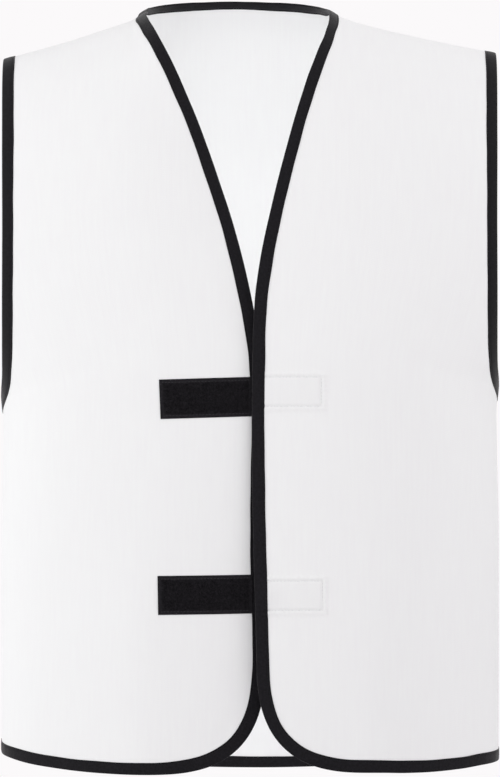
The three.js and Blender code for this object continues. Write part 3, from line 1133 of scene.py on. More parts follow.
@dataclass
class Finishes:
    """All the materials of the vest, made once."""

    cloth: bpy.types.Material = field(init=False)
    binding: bpy.types.Material = field(init=False)
    loop_ground: bpy.types.Material = field(init=False)
    loop_pile: bpy.types.Material = field(init=False)
    hook_ground: bpy.types.Material = field(init=False)
    hooks: bpy.types.Material = field(init=False)
    black_thread: bpy.types.Material = field(init=False)
    sheen_painted_thread: bpy.types.Material = field(init=False)
    groove_shaded_white_thread: bpy.types.Material = field(init=False)

    def __post_init__(self) -> None:
        """Makes each material from its finish."""
        # Bright and matt, so the folds show only as soft shade
        self.cloth = KnitCloth().material()
        # Dull black with fine ribs, a little paler where it turns up to the light
        self.binding = WovenTape(
            "woven_polyester_binding_black", "#1A181D", "#09080B", rib=1.1, roughness=0.75,
            specular=0.13, sheen=0.2, bump=0.5,
        ).material()
        # Plain black border round the pile
        self.loop_ground = WovenTape(
            "woven_nylon_loop_tape_black", "#242226", "#121114", rib=0.9, roughness=0.8,
            specular=0.12, sheen=0.02, bump=0.5,
        ).material()
        # Painted shade: the loops are coloured darker than black nylon, for the light that gets lost between
        # them
        self.loop_pile = SpunThread(
            "nylon_loop_pile_black_painted_shade", "#0F0C10", "#020202", roughness=0.8, specular=0.05, slub=5.0
        ).material()
        # White that glows a little through the cloth in front of it
        self.hook_ground = WovenTape(
            "woven_nylon_hook_tape_white", "#F9F9FA", "#F4F4F5", rib=0.9, roughness=0.7,
            specular=0.25, sheen=0.02, bump=0.3, see_through=0.5,
        ).material()
        # Small white points with a slight gloss
        self.hooks = SpunThread(
            "moulded_nylon_hooks_white", "#F9F9FA", "#F4F4F5", roughness=0.45, specular=0.4
        ).material()
        # Black on black: hardly seen but for the groove it lies in
        self.black_thread = SpunThread("spun_polyester_thread_black", "#201F23", "#121114").material()
        # Painted sheen: black thread coloured dark grey, with a little real gloss too, so it draws a fine
        # line round the pile
        self.sheen_painted_thread = SpunThread(
            "filament_polyester_thread_black", "#3A373D", "#2A282D", roughness=0.5, specular=0.3
        ).material()
        # Painted shade: white thread coloured a shade darker than the cloth, for the shade in the stitched
        # grooves, so the sewn rectangles show
        self.groove_shaded_white_thread = SpunThread("spun_polyester_thread_white_painted_shade", "#D9D8DC", "#CBCACF").material()


# Meshes


def show(name: str, data: bpy.types.ID) -> bpy.types.Object:
    """Makes an object and puts it in the scene.

    Args:
        name: name of the object.
        data: its mesh, light or camera.

    Returns:
        The object.
    """
    thing = bpy.data.objects.new(name, data)
    bpy.context.scene.collection.objects.link(thing)
    return thing


def mesh_piece(
    name: str, points: Array, faces: list[list[int]], corner_map: Array, material: bpy.types.Material
) -> bpy.types.Object:
    """Makes a shaded object from points in millimetres.

    Args:
        name: name of the object.
        points: one row for each vertex.
        faces: vertex numbers of each face.
        corner_map: map coordinates in millimetres, one row for each corner of each face.
        material: the finish.

    Returns:
        The object, at the origin.
    """
    mesh = bpy.data.meshes.new(name)
    mesh.from_pydata((points * MM).tolist(), [], faces)
    layer = mesh.uv_layers.new(name="cloth")
    layer.data.foreach_set("uv", (corner_map * MM).astype(np.float32).ravel())
    mesh.materials.append(material)
    mesh.shade_smooth()
    mesh.set_sharp_from_angle(angle=SHARP_ANGLE)
    return show(name, mesh)


def flat_list(faces: list[list[int]]) -> Array:
    """Vertex numbers of all the corners of all the faces."""
    return np.fromiter((corner for face in faces for corner in face), dtype=np.int64)


def sheet_faces(faces: list[list[int]], count: int) -> list[list[int]]:
    """Faces of a closed sheet over a net of outer faces.

    Args:
        faces: outer faces; the inner vertices follow the outer ones in the same order.
        count: number of outer vertices.

    Returns:
        Outer faces, inner faces and the rim between them.
    """
    directed = {(a, b) for face in faces for a, b in zip(face, face[1:] + face[:1])}
    rim = [[b, a, a + count, b + count] for a, b in directed if (b, a) not in directed]
    inner = [[corner + count for corner in reversed(face)] for face in faces]
    return faces + inner + sorted(rim)


def facing_out(points: Array, faces: list[list[int]], normals: Array) -> list[list[int]]:
    """Turns a net's faces so that they face the way of its normals.

    Args:
        points: the vertices.
        faces: vertex numbers of each face.
        normals: the way out at each vertex.

    Returns:
        The faces, all turned or all as they were.
    """
    a, b, c = (points[[face[i] for face in faces]] for i in range(3))
    agreement = (np.cross(b - a, c - a) * normals[[face[0] for face in faces]]).sum()
    return faces if agreement > 0 else [face[::-1] for face in faces]


def grid_faces(rows: int, columns: int) -> list[list[int]]:
    """Quads of a grid of vertices, row by row.

    Args:
        rows: number of rows of vertices.
        columns: number of vertices in a row.

    Returns:
        Vertex numbers of each quad.
    """
    corners = np.arange(rows * columns).reshape(rows, columns)
    quads = np.stack([corners[:-1, :-1], corners[:-1, 1:], corners[1:, 1:], corners[1:, :-1]], axis=-1)
    return quads.reshape(-1, 4).tolist()


def coons(bottom: Array, right: Array, top: Array, left: Array) -> Array:
    """Net of places between four sides, by row and column.

    Args:
        bottom: places from left to right.
        right: places from bottom to top.
        top: places from left to right.
        left: places from bottom to top.

    Returns:
        The net.
    """
    u = np.linspace(0, 1, len(bottom))[None, :, None]
    v = np.linspace(0, 1, len(left))[:, None, None]
    across = left[:, None] * (1 - u) + right[:, None] * u
    upward = bottom[None] * (1 - v) + top[None] * v
    low = bottom[0] * (1 - u) + bottom[-1] * u
    high = top[0] * (1 - u) + top[-1] * u
    return across + upward - low * (1 - v) - high * v


def split_where(net: Array, fine: Array, cuts: int = 2) -> tuple[Array, list[list[int]]]:
    """Splits the cells of a net more finely in places.

    Args:
        net: places by row and column.
        fine: for each place, whether the cloth there has small forms.
        cuts: number of cuts of each edge there.

    Returns:
        The places and the faces between them.
    """
    span = np.array([TURN_SPAN, 1.0])
    flat = net.reshape(-1, 2) * span
    mesh = bmesh.new()
    corners = [mesh.verts.new((turn, down, 0.0)) for turn, down in flat.tolist()]
    for quad in grid_faces(*net.shape[:2]):
        mesh.faces.new([corners[i] for i in quad])
    mesh.verts.index_update()
    marked = fine.ravel()
    edges = [e for e in mesh.edges if marked[e.verts[0].index] and marked[e.verts[1].index]]
    bmesh.ops.subdivide_edges(mesh, edges=edges, cuts=cuts, use_grid_fill=True)
    mesh.verts.index_update()
    places = np.array([vert.co[:2] for vert in mesh.verts]) / span
    faces = [[vert.index for vert in face.verts] for face in mesh.faces]
    mesh.free()
    return places, faces


@dataclass
class Piece:
    """A finished object and what the frame needs to know about it."""

    thing: bpy.types.Object
    slot: Slot
    node: str | None = None


@dataclass
class ClothPanel:
    """One panel of cloth: a closed thin sheet over a net of places."""

    name: str
    node: str
    face: Face
    finishes: Finishes
    thickness: float = 0.7
    raw_edge: float = 0.7
    seam_gap: float = 0.02
    fine_reach: float = 9.0
    seam_reach: float = 5.0

    def fine_zone(self, net: Array) -> Array:
        """Where the cloth has seams, stitched grooves or puckers.

        Args:
            net: places by row and column.

        Returns:
            Yes or no for each place.
        """
        points = self.face.plain(net)
        around = self.face.form.around(net[..., 0])
        from_side = self.face.form.around(1.0) - np.abs(around)
        zone = (from_side < self.seam_reach) | (net[..., 1] < self.seam_reach)
        for patch in self.face.relief.patches:
            distance, _ = patch.outside(points[..., 0], points[..., 2], patch.stitch_inset)
            zone |= np.abs(distance) < self.fine_reach
        return zone

    def build(self, net: Array) -> Piece:
        """Makes the panel.

        Args:
            net: places by row and column.

        Returns:
            The panel's piece.
        """
        places, faces = split_where(net, self.fine_zone(net))
        middle = self.face.folded(places)
        normals = self.face.outward(self.face.folded, places)
        near = middle[:, 1] * self.face.toward < self.seam_gap
        middle[near, 1] = self.seam_gap * self.face.toward
        faces = facing_out(middle, faces, normals)
        half = normals * self.thickness / 2
        points = np.vstack([middle + half, middle - half])
        cloth_map = np.stack([self.face.form.around(places[:, 0]), -places[:, 1]], axis=-1)
        closed = sheet_faces(faces, len(middle))
        corner_map = np.vstack([cloth_map, cloth_map])[flat_list(closed)]
        thing = mesh_piece(self.name, points, closed, corner_map, self.finishes.cloth)
        return Piece(thing, Slot.CLOTH, self.node)


def side_border(raw: float, hem_end: Array, armhole: Stations) -> Array:
    """Side of a panel from its hem up the side seam and along the armhole to the shoulder."""
    arm = armhole.inset(raw)
    return np.vstack([between(hem_end, arm[0], COUNTS.side_seam), arm[1:]])


def front_net(panel: ClothPanel, edge: Stations, armhole: Stations) -> Array:
    """Net of a front panel.

    Args:
        panel: the front panel.
        edge: its hem, corner and free edge.
        armhole: its armhole.

    Returns:
        Places by row and column.
    """
    border = edge.inset(panel.raw_edge)
    columns = COUNTS.hem + COUNTS.corner // 2
    bottom, inner = border[: columns + 1], border[columns:]
    side = side_border(panel.raw_edge, bottom[0], armhole)
    return coons(bottom, inner, between(side[-1], inner[-1], columns), side)


def back_net(panel: ClothPanel, hem: Stations, neck: Stations, armholes: dict[Side, Stations]) -> Array:
    """Net of the back panel.

    Args:
        panel: the back panel.
        hem: its hem.
        neck: its neck.
        armholes: its armholes.

    Returns:
        Places by row and column.
    """
    bottom, neck_border = hem.inset(panel.raw_edge), neck.inset(panel.raw_edge)
    right = side_border(panel.raw_edge, bottom[0], armholes[Side.RIGHT])
    left = side_border(panel.raw_edge, bottom[-1], armholes[Side.LEFT])
    top = np.vstack([
        between(right[-1], neck_border[0], COUNTS.back_shoulder),
        neck_border[1:-1],
        between(neck_border[-1], left[-1], COUNTS.back_shoulder),
    ])
    return coons(bottom, left, top, right)


# What repeats


@dataclass
class Paths:
    """Lines on the cloth that stitches follow, with the way that the cloth faces there."""

    points: list[Array] = field(default_factory=list)
    facing: list[Array] = field(default_factory=list)
    edges: list[Array] = field(default_factory=list)
    count: int = 0

    def add_loop(self, points: Array, facing: Array) -> None:
        """Adds a closed line.

        Args:
            points: points of the line.
            facing: the way out of the cloth at each.
        """
        n = len(points)
        first = np.arange(n)
        self.points.append(points)
        self.facing.append(facing)
        self.edges.append(np.stack([first, (first + 1) % n], axis=-1) + self.count)
        self.count += n

    def carrier(self, name: str) -> bpy.types.Object:
        """Object that holds the lines, for a tree to grow on.

        Args:
            name: name of the object.

        Returns:
            The object.
        """
        mesh = bpy.data.meshes.new(name)
        edges = np.vstack(self.edges).tolist() if self.edges else []
        mesh.from_pydata((np.vstack(self.points) * MM).tolist(), edges, [])
        facing = mesh.attributes.new("facing", "FLOAT_VECTOR", "POINT")
        facing.data.foreach_set("vector", np.vstack(self.facing).astype(np.float32).ravel())
        return show(name, mesh)


def new_tree(name: str, *labels: str) -> tuple[bpy.types.NodeTree, dict[str, Socket]]:
    """Starts a Geometry Nodes tree.

    Args:
        name: name of the tree.
        *labels: names of the inputs; all but the seed and the finish are lengths or angles.

    Returns:
        The tree and what comes in, by the name of the input.
    """
    tree = bpy.data.node_groups.new(name, "GeometryNodeTree")
    tree.interface.new_socket("Geometry", in_out="INPUT", socket_type="NodeSocketGeometry")
    tree.interface.new_socket("Geometry", in_out="OUTPUT", socket_type="NodeSocketGeometry")
    for label in labels:
        kind = SOCKET_KINDS.get(label, "NodeSocketFloat")
        tree.interface.new_socket(label, in_out="INPUT", socket_type=kind)
    given = add_node(tree, "NodeGroupInput")
    return tree, {label: given.outputs[label] for label in ("Geometry", *labels)}


def bent_strand(
    tree: bpy.types.NodeTree, given: dict[str, Socket], start: float, sweep: float, sides: int
) -> Socket:
    """Adds an upright arc of round strand.

    Args:
        tree: the tree that gets the nodes.
        given: what comes in, with a radius and a strand.
        start: angle that the arc starts at, in radians.
        sweep: angle that it spans, in radians.
        sides: number of sides of the strand.

    Returns:
        The output of the mesh.
    """
    arc = add_node(tree, "GeometryNodeCurveArc", {
        "Resolution": ARC_POINTS, "Radius": given["Radius"], "Start Angle": start, "Sweep Angle": sweep,
    }, mode="RADIUS")
    section = add_node(tree, "GeometryNodeCurvePrimitiveCircle", {
        "Resolution": sides, "Radius": given["Strand"],
    }, mode="RADIUS")
    strand = add_node(tree, "GeometryNodeCurveToMesh", {
        "Curve": arc.outputs[0], "Profile Curve": section.outputs[0], "Fill Caps": True,
    })
    return add_node(tree, "GeometryNodeTransform", {
        "Geometry": strand.outputs[0], "Rotation": (QUARTER_TURN, 0.0, 0.0),
    }).outputs[0]


def on_cloth(tree: bpy.types.NodeTree, along: Socket | tuple[float, float, float]) -> Socket:
    """Adds a rotation that stands on the cloth.

    Args:
        tree: the tree that gets the nodes.
        along: direction of the X axis.

    Returns:
        The output of the rotation.
    """
    facing = add_node(tree, "GeometryNodeInputNamedAttribute", {"Name": "facing"}, data_type="FLOAT_VECTOR")
    axes = {"Primary Axis": facing.outputs[0], "Secondary Axis": along}
    return add_node(tree, "FunctionNodeAxesToRotation", axes, primary_axis="Z", secondary_axis="X").outputs[0]


def leaning(tree: bpy.types.NodeTree, rotation: Socket, angles: Socket) -> Socket:
    """Adds a further turn to a rotation.

    Args:
        tree: the tree that gets the nodes.
        rotation: the rotation so far.
        angles: Euler angles.

    Returns:
        The output of the rotation.
    """
    twist = add_node(tree, "FunctionNodeEulerToRotation", {"Euler": angles})
    turns = {"Rotation": rotation, "Rotate By": twist.outputs[0]}
    return add_node(tree, "FunctionNodeRotateRotation", turns, rotation_space="LOCAL").outputs[0]


def end_tree(
    tree: bpy.types.NodeTree, points: Socket, instance: Socket, rotation: Socket, material: Socket
) -> None:
    """Ends a tree: a copy on each point, all made one smooth mesh with a material.

    Args:
        tree: the tree that gets the nodes.
        points: where the copies go.
        instance: the mesh that is copied.
        rotation: how each copy is turned.
        material: the finish.
    """
    placed = add_node(tree, "GeometryNodeInstanceOnPoints", {
        "Points": points, "Instance": instance, "Rotation": rotation,
    })
    real = add_node(tree, "GeometryNodeRealizeInstances", {"Geometry": placed.outputs[0]})
    smooth = add_node(tree, "GeometryNodeSetShadeSmooth", {"Geometry": real.outputs[0]})
    dressed = add_node(tree, "GeometryNodeSetMaterial", {"Geometry": smooth.outputs[0], "Material": material})
    add_node(tree, "NodeGroupOutput", {"Geometry": dressed.outputs[0]})


def grow(
    name: str, carrier: bpy.types.Object, tree: bpy.types.NodeTree, values: dict[str, object]
) -> bpy.types.Object:
    """Runs a tree on a carrier and keeps the result as a plain mesh.

    Args:
        name: name of the new object.
        carrier: object that holds the lines or faces; it is removed.
        tree: the Geometry Nodes tree.
        values: value of each named input.

    Returns:
        The new object.
    """
    modifier = carrier.modifiers.new(name, "NODES")
    modifier.node_group = tree
    for item in tree.interface.items_tree:
        if item.in_out == "INPUT" and item.name in values:
            modifier[item.identifier] = values[item.name]
    depsgraph = bpy.context.evaluated_depsgraph_get()
    mesh = bpy.data.meshes.new_from_object(carrier.evaluated_get(depsgraph), depsgraph=depsgraph)
    mesh.name = name
    carrier.modifiers.remove(modifier)
    bpy.data.objects.remove(carrier)
    return show(name, mesh)


@dataclass
class StitchRow:
    """Lockstitches: short lengths of thread that lie in line along a path."""

    pitch: float = 3.0
    length: float = 2.5
    thread: float = 0.42
    slant: float = 5.0
    least_slant: float = 0.5
    seed: int = 7
    tree: bpy.types.NodeTree = field(init=False)

    def __post_init__(self) -> None:
        """Builds the tree."""
        tree, given = new_tree("stitch_row", "Pitch", "Length", "Thread", "Slant", "Seed", "Finish")
        size = add_node(tree, "ShaderNodeCombineXYZ", {
            "X": given["Length"], "Y": given["Thread"], "Z": given["Thread"],
        })
        bead = add_node(tree, "GeometryNodeMeshUVSphere", {"Segments": 6, "Rings": 4, "Radius": 0.5})
        stitch = add_node(tree, "GeometryNodeTransform", {
            "Geometry": bead.outputs[0], "Scale": size.outputs[0],
        })
        line = add_node(tree, "GeometryNodeMeshToCurve", {"Mesh": given["Geometry"]})
        steps = add_node(tree, "GeometryNodeResampleCurve", {
            "Curve": line.outputs[0], "Length": given["Pitch"],
        }, mode="LENGTH")
        least = calculate(tree, "MULTIPLY", given["Slant"], self.least_slant)
        lean = add_node(tree, "FunctionNodeRandomValue", {
            2: least, 3: given["Slant"], "Seed": given["Seed"],
        }, data_type="FLOAT")
        angles = add_node(tree, "ShaderNodeCombineXYZ", {"Z": lean.outputs[1]})
        lying = on_cloth(tree, add_node(tree, "GeometryNodeInputTangent").outputs[0])
        laid = leaning(tree, lying, angles.outputs[0])
        end_tree(tree, steps.outputs[0], stitch.outputs[0], laid, given["Finish"])
        self.tree = tree

    def lay(self, name: str, paths: Paths, finish: bpy.types.Material) -> bpy.types.Object:
        """Lays stitches along paths.

        Args:
            name: name of the stitches.
            paths: the lines that they follow.
            finish: material of the thread.

        Returns:
            The stitches as one object.
        """
        return grow(name, paths.carrier(name + "_path"), self.tree, {
            "Pitch": self.pitch * MM, "Length": self.length * MM, "Thread": self.thread * MM,
            "Slant": math.radians(self.slant), "Seed": self.seed, "Finish": finish,
        })


@dataclass
class LoopPile:
    """Pile of fine nylon loops that stand on a tape, leaning every way."""

    density: float = 1.5
    radius: float = 0.42
    strand: float = 0.09
    start: float = -0.5
    sweep: float = 4.1
    sides: int = 3
    lean: tuple[float, float, float] = (0.6, 0.6, 3.14)
    seed: int = 11
    tree: bpy.types.NodeTree = field(init=False)

    def __post_init__(self) -> None:
        """Builds the tree."""
        tree, given = new_tree("loop_pile", "Density", "Radius", "Strand", "Seed", "Finish")
        # The real pile has many more loops; these are as coarse as they need to be to show
        loop = bent_strand(tree, given, self.start, self.sweep, self.sides)
        spots = add_node(tree, "GeometryNodeDistributePointsOnFaces", {
            "Mesh": given["Geometry"], "Density": given["Density"], "Seed": given["Seed"],
        }, distribute_method="RANDOM")
        lean = add_node(tree, "FunctionNodeRandomValue", {
            0: tuple(-angle for angle in self.lean), 1: self.lean, "Seed": given["Seed"],
        }, data_type="FLOAT_VECTOR")
        stood = leaning(tree, spots.outputs["Rotation"], lean.outputs[0])
        end_tree(tree, spots.outputs[0], loop, stood, given["Finish"])
        self.tree = tree

    def raise_on(self, name: str, carrier: bpy.types.Object, finish: bpy.types.Material) -> bpy.types.Object:
        """Covers the faces of a carrier with loops.

        Args:
            name: name of the pile.
            carrier: object with the faces; it is removed.
            finish: material of the loops.

        Returns:
            The pile as one object.
        """
        return grow(name, carrier, self.tree, {
            "Density": self.density / MM**2, "Radius": self.radius * MM, "Strand": self.strand * MM,
            "Seed": self.seed, "Finish": finish,
        })


@dataclass
class HookField:
    """Rows of moulded nylon hooks that stand on a tape."""

    radius: float = 0.5
    strand: float = 0.13
    start: float = -0.3
    sweep: float = 3.7
    sides: int = 4
    tree: bpy.types.NodeTree = field(init=False)

    def __post_init__(self) -> None:
        """Builds the tree."""
        tree, given = new_tree("hook_field", "Radius", "Strand", "Finish")
        hook = bent_strand(tree, given, self.start, self.sweep, self.sides)
        end_tree(tree, given["Geometry"], hook, on_cloth(tree, (1.0, 0.0, 0.0)), given["Finish"])
        self.tree = tree

    def plant(self, name: str, paths: Paths, finish: bpy.types.Material) -> bpy.types.Object:
        """Plants a hook on each point.

        Args:
            name: name of the hooks.
            paths: holds the points and the way that they face.
            finish: material of the hooks.

        Returns:
            The hooks as one object.
        """
        return grow(name, paths.carrier(name + "_spots"), self.tree, {
            "Radius": self.radius * MM, "Strand": self.strand * MM, "Finish": finish,
        })


# Bound edges

# Outer half of the folded tape's outline: its free edge, its seam with the groove, and its fold
# Columns: distance in from the edge, the seam or the fold, height off the tape's face
TAPE_EDGE: Rows = ((0, -0.2), (-0.25, -0.03))
TAPE_SEAM: Rows = (
    (0.7, 0), (0.35, -0.1), (0, -0.24), (-0.35, -0.1), (-0.8, 0.02), (-2.2, 0.14), (-4.4, 0.14),
)
TAPE_FOLD: Rows = ((2.6, 0.08), (1.3, 0), (0.6, -0.16))
TAPE_NOSE = 0.2


@dataclass
class Binding:
    """Tape folded round a closed edge and sewn through, built ring by ring."""

    name: str
    node: str
    runs: list[Stations]
    finishes: Finishes
    stitches: StitchRow
    width: float = 11.0
    cloth: float = 0.38
    tape: float = 0.55
    slot_edge: float = 0.45
    slot_stops: Span = (4.0, 7.5)
    stitch_inset: float = 1.7
    stitch_sink: float = 0.14
    width_waves: Rows = ((310, 0.012), (97, 0.012), (41, 0.008))
    height_waves: Rows = ((23, 0.05), (9.5, 0.05))

    def profile(self) -> Array:
        """Outline of the folded tape.

        Returns:
            Distance in from the fold and height off the middle of the cloth of each point.
        """
        top, width, seam = self.cloth + self.tape, self.width, self.width - self.stitch_inset
        outside = [(width, self.cloth)]
        for start, rows in ((width, TAPE_EDGE), (seam, TAPE_SEAM), (0.0, TAPE_FOLD)):
            outside += [(start + inward, top + height) for inward, height in rows]
        outside.append((TAPE_NOSE, top / 2))
        inside = [(inward, -height) for inward, height in reversed(outside)]
        stops = (self.slot_edge, *self.slot_stops)
        slot = [(stop, -self.cloth) for stop in reversed(stops)] + [(stop, self.cloth) for stop in stops]
        return np.array([*outside, (0.0, 0.0), *inside, *slot])

    def rings(self, profile: Array) -> tuple[Array, Array]:
        """Points of every ring and the length along the tape of each ring.

        Args:
            profile: distance in and height of each point of a ring.

        Returns:
            Points by ring and place in the ring, and lengths by ring with the whole length last.
        """
        points, along, start = [], [], 0.0
        for run in self.runs:
            length = lengths_along(run.face.plain(run.places))
            widths = run.tape / self.width * (1 + wander(length + start, self.width_waves))
            inward = profile[None, :, 0] * widths[:, None]
            height = profile[None, :, 1] * (1 + wander(length + start, self.height_waves))[:, None]
            places = run.places[:, None] + run.inward[:, None] * inward[..., None]
            points.append(run.face.raised(places, height)[:-1])
            along.append(length[:-1] + start)
            start += length[-1]
        return np.vstack(points), np.concatenate([*along, [start]])

    def build(self) -> list[Piece]:
        """Makes the tape and its stitches.

        Returns:
            The tape's piece and the stitches' piece.
        """
        profile = self.profile()
        points, along = self.rings(profile)
        rings, corners = points.shape[:2]
        index = np.arange(rings * corners).reshape(rings, corners)
        after, beside = np.roll(index, -1, axis=0), np.roll(index, -1, axis=1)
        quads = np.stack([index, beside, np.roll(after, -1, axis=1), after], axis=-1).reshape(-1, 4)
        across = lengths_along(np.vstack([profile, profile[:1]]))
        low, high = np.meshgrid(along[:-1], across[:-1], indexing="ij")
        far, wide = np.meshgrid(along[1:], across[1:], indexing="ij")
        corner_map = np.stack([low, high, low, wide, far, wide, far, high], axis=-1).reshape(-1, 4, 2)
        flat = points.reshape(-1, 3)
        a, b, c = (flat[quads[:, i]] for i in range(3))
        if (a * np.cross(b, c)).sum() < 0:
            quads, corner_map = quads[:, ::-1], corner_map[:, ::-1]
        thing = mesh_piece(self.name, flat, quads.tolist(), corner_map.reshape(-1, 2), self.finishes.binding)
        return [Piece(thing, Slot.BINDING, self.node), self.sewn()]

    def sewn(self) -> Piece:
        """Makes the stitches on both sides of the tape.

        Returns:
            The stitches' piece.
        """
        seam, lie = self.width - self.stitch_inset, self.cloth + self.tape - self.stitch_sink
        paths = Paths()
        for sign in (1, -1):
            line, _ = self.rings(np.array([[seam, sign * lie], [seam, sign * (lie + 1)]]))
            paths.add_loop(line[:, 0], unit(line[:, 1] - line[:, 0]))
        thing = self.stitches.lay(self.name + "_stitches", paths, self.finishes.black_thread)
        return Piece(thing, Slot.BINDING)


# Hook-and-loop tapes


@dataclass(frozen=True)
class TapeSpot:
    """Where a length of tape lies, seen from the front.

    Tilt is its rise from the outer to the inner end, lean how far the outer end slopes, and bulge how
    far the cloth over the inner end stands out.
    """

    height: float
    outer: float
    inner: float
    tilt: float = 0.0
    width: float = 35.5
    lean: float = 0.0
    bulge: float = 0.0

    @property
    def length(self) -> float:
        """Length of the tape."""
        return abs(self.inner - self.outer)


@dataclass
class FlatTape:
    """Length of tape laid on one side of the cloth: a thin slab with rounded edges and selvedges."""

    name: str
    node: str
    face: Face
    spot: TapeSpot
    outside: float
    thickness: float
    selvedge: float
    selvedge_drop: float
    ground: bpy.types.Material
    cloth: float = 0.37
    under_gap: float = 0.03
    step: float = 0.9
    edge_steps: Span = (0.12, 0.3)
    edge_round: float = 0.4
    edge_share: float = 0.35
    selvedge_round: float = 0.6
    stitch_sink: float = 0.7
    sink_run: Span = (-1.5, 0.3)

    def front_view(self, along: Array, across: Array) -> tuple[Array, Array]:
        """Place in the front view of points of the tape.

        Args:
            along: distance from the tape's outer end.
            across: distance from its lower edge.

        Returns:
            X and height of each point.
        """
        share = along / self.spot.length
        x = self.spot.outer + (self.spot.inner - self.spot.outer) * share
        x = x + self.spot.lean * (0.5 - across / self.spot.width) * (1 - share)
        middle = self.spot.height + self.spot.tilt * (share - 0.5)
        return x, middle + across - self.spot.width / 2

    def surface(self, along: Array, across: Array, height: Array | float) -> Array:
        """Points at a height above the cloth under the tape."""
        places = self.face.place_at(*self.front_view(along, across))
        return self.face.raised(places, self.outside * (self.cloth + height))

    def above(self, along: Array, across: Array, height: float) -> Array:
        """Points at a height above the tape's face, in one list."""
        return self.surface(along, across, self.top(along, across) + height).reshape(-1, 3)

    def top(self, along: Array, across: Array) -> Array:
        """Height of the tape's face above the cloth.

        Args:
            along: distance from the tape's outer end.
            across: distance from its lower edge.

        Returns:
            The height at each point.
        """
        to_side = np.minimum(across, self.spot.width - across)
        to_end = np.minimum(along, self.spot.length - along)
        nearest = np.clip(np.minimum(to_side, to_end) / self.edge_round, 0, 1)
        rounding = np.sqrt(np.clip(1 - (1 - nearest) ** 2, 0, 1))
        low, high = self.selvedge - self.selvedge_round, self.selvedge + self.selvedge_round
        lowered = self.selvedge_drop * (1 - ease(low, high, to_side))
        return (self.thickness - lowered) * (self.edge_share + (1 - self.edge_share) * rounding)

    def grid(self, margin_along: float = 0.0, margin_across: float = 0.0) -> tuple[Array, Array]:
        """Grid over the tape, closer together at its edges.

        Args:
            margin_along: how far in from the ends it starts.
            margin_across: how far in from the sides it starts.

        Returns:
            Distance along and across of each point, by row and column.
        """

        def spaced(size: float, margin: float) -> Array:
            """Steps over one size of the tape.

            Args:
                size: length or width.
                margin: how far in the steps start.

            Returns:
                The distances.
            """
            inner = np.linspace(margin, size - margin, round((size - 2 * margin) / self.step) + 1)
            edge = np.array(self.edge_steps)
            return np.unique(np.concatenate([inner, margin + edge, size - margin - edge]))

        return np.meshgrid(spaced(self.spot.length, margin_along), spaced(self.spot.width, margin_across))

    def build(self) -> Piece:
        """Makes the slab.

        Returns:
            The slab's piece.
        """
        along, across = self.grid()
        over = self.above(along, across, 0.0)
        under = self.surface(along, across, self.under_gap).reshape(-1, 3)
        quads = facing_out(over, grid_faces(*along.shape), over - under)
        closed = sheet_faces(quads, len(over))
        tape_map = np.stack([along, across], axis=-1).reshape(-1, 2)
        corner_map = np.vstack([tape_map, tape_map])[flat_list(closed)]
        thing = mesh_piece(self.name, np.vstack([over, under]), closed, corner_map, self.ground)
        return Piece(thing, Slot.LOOP if self.outside > 0 else Slot.HOOK, self.node)

    def outline(
        self, inset: float, height: float, outside: float, past_end: float = 0.0
    ) -> tuple[Array, Array]:
        """Closed rectangle on the tape.

        Args:
            inset: how far in from the tape's edges it lies.
            height: height above the cloth.
            outside: 1 for the outer side of the cloth and -1 for the inner one.
            past_end: how far the rectangle runs on past the tape's inner end.

        Returns:
            Points of the line and the way that they face.
        """
        length, width = self.spot.length, self.spot.width
        end = length + past_end - inset
        corners = np.array([(inset, inset), (end, inset), (end, width - inset), (inset, width - inset)])
        sides = zip(corners, np.roll(corners, -1, axis=0))
        line = np.vstack([between(a, b, round(float(np.abs(b - a).max())))[:-1] for a, b in sides])
        places = self.face.place_at(*self.front_view(line[:, 0], line[:, 1]))
        # Past the inner end the stitches sink out of sight under the binding
        sunk = ease(length + self.sink_run[0], length + self.sink_run[1], line[:, 0])
        points = self.face.raised(places, outside * (self.cloth + height - self.stitch_sink * sunk))
        return points, outside * self.face.outward(self.face.folded, places)


@dataclass
class LoopStrip:
    """Black loop tape on the outside of the right front: slab, pile and stitches."""

    tape: FlatTape
    finishes: Finishes
    stitches: StitchRow
    pile: LoopPile
    stitch_inset: float = 3.0
    end_margin: float = 3.6
    side_margin: float = 0.6
    root: float = 0.1
    tip: float = 1.0

    def build(self) -> list[Piece]:
        """Makes the strip.

        Returns:
            The slab, the pile and the stitches.
        """
        tape, slab = self.tape, self.tape.build()
        along, across = tape.grid(self.end_margin, tape.selvedge + self.side_margin)
        points = tape.above(along, across, self.root)
        outward = tape.above(along, across, self.tip) - points
        faces = facing_out(points, grid_faces(*along.shape), outward)
        corner_map = np.stack([along, across], axis=-1).reshape(-1, 2)[flat_list(faces)]
        bed = mesh_piece(tape.name + "_bed", points, faces, corner_map, self.finishes.loop_pile)
        pile = self.pile.raise_on(tape.name + "_pile", bed, self.finishes.loop_pile)
        paths = Paths()
        paths.add_loop(*tape.outline(self.stitch_inset, tape.thickness - tape.selvedge_drop, 1))
        # The strip's stitches are black thread with a painted sheen
        sewn = self.stitches.lay(tape.name + "_stitches", paths, self.finishes.sheen_painted_thread)
        return [slab, Piece(pile, Slot.LOOP), Piece(sewn, Slot.LOOP)]


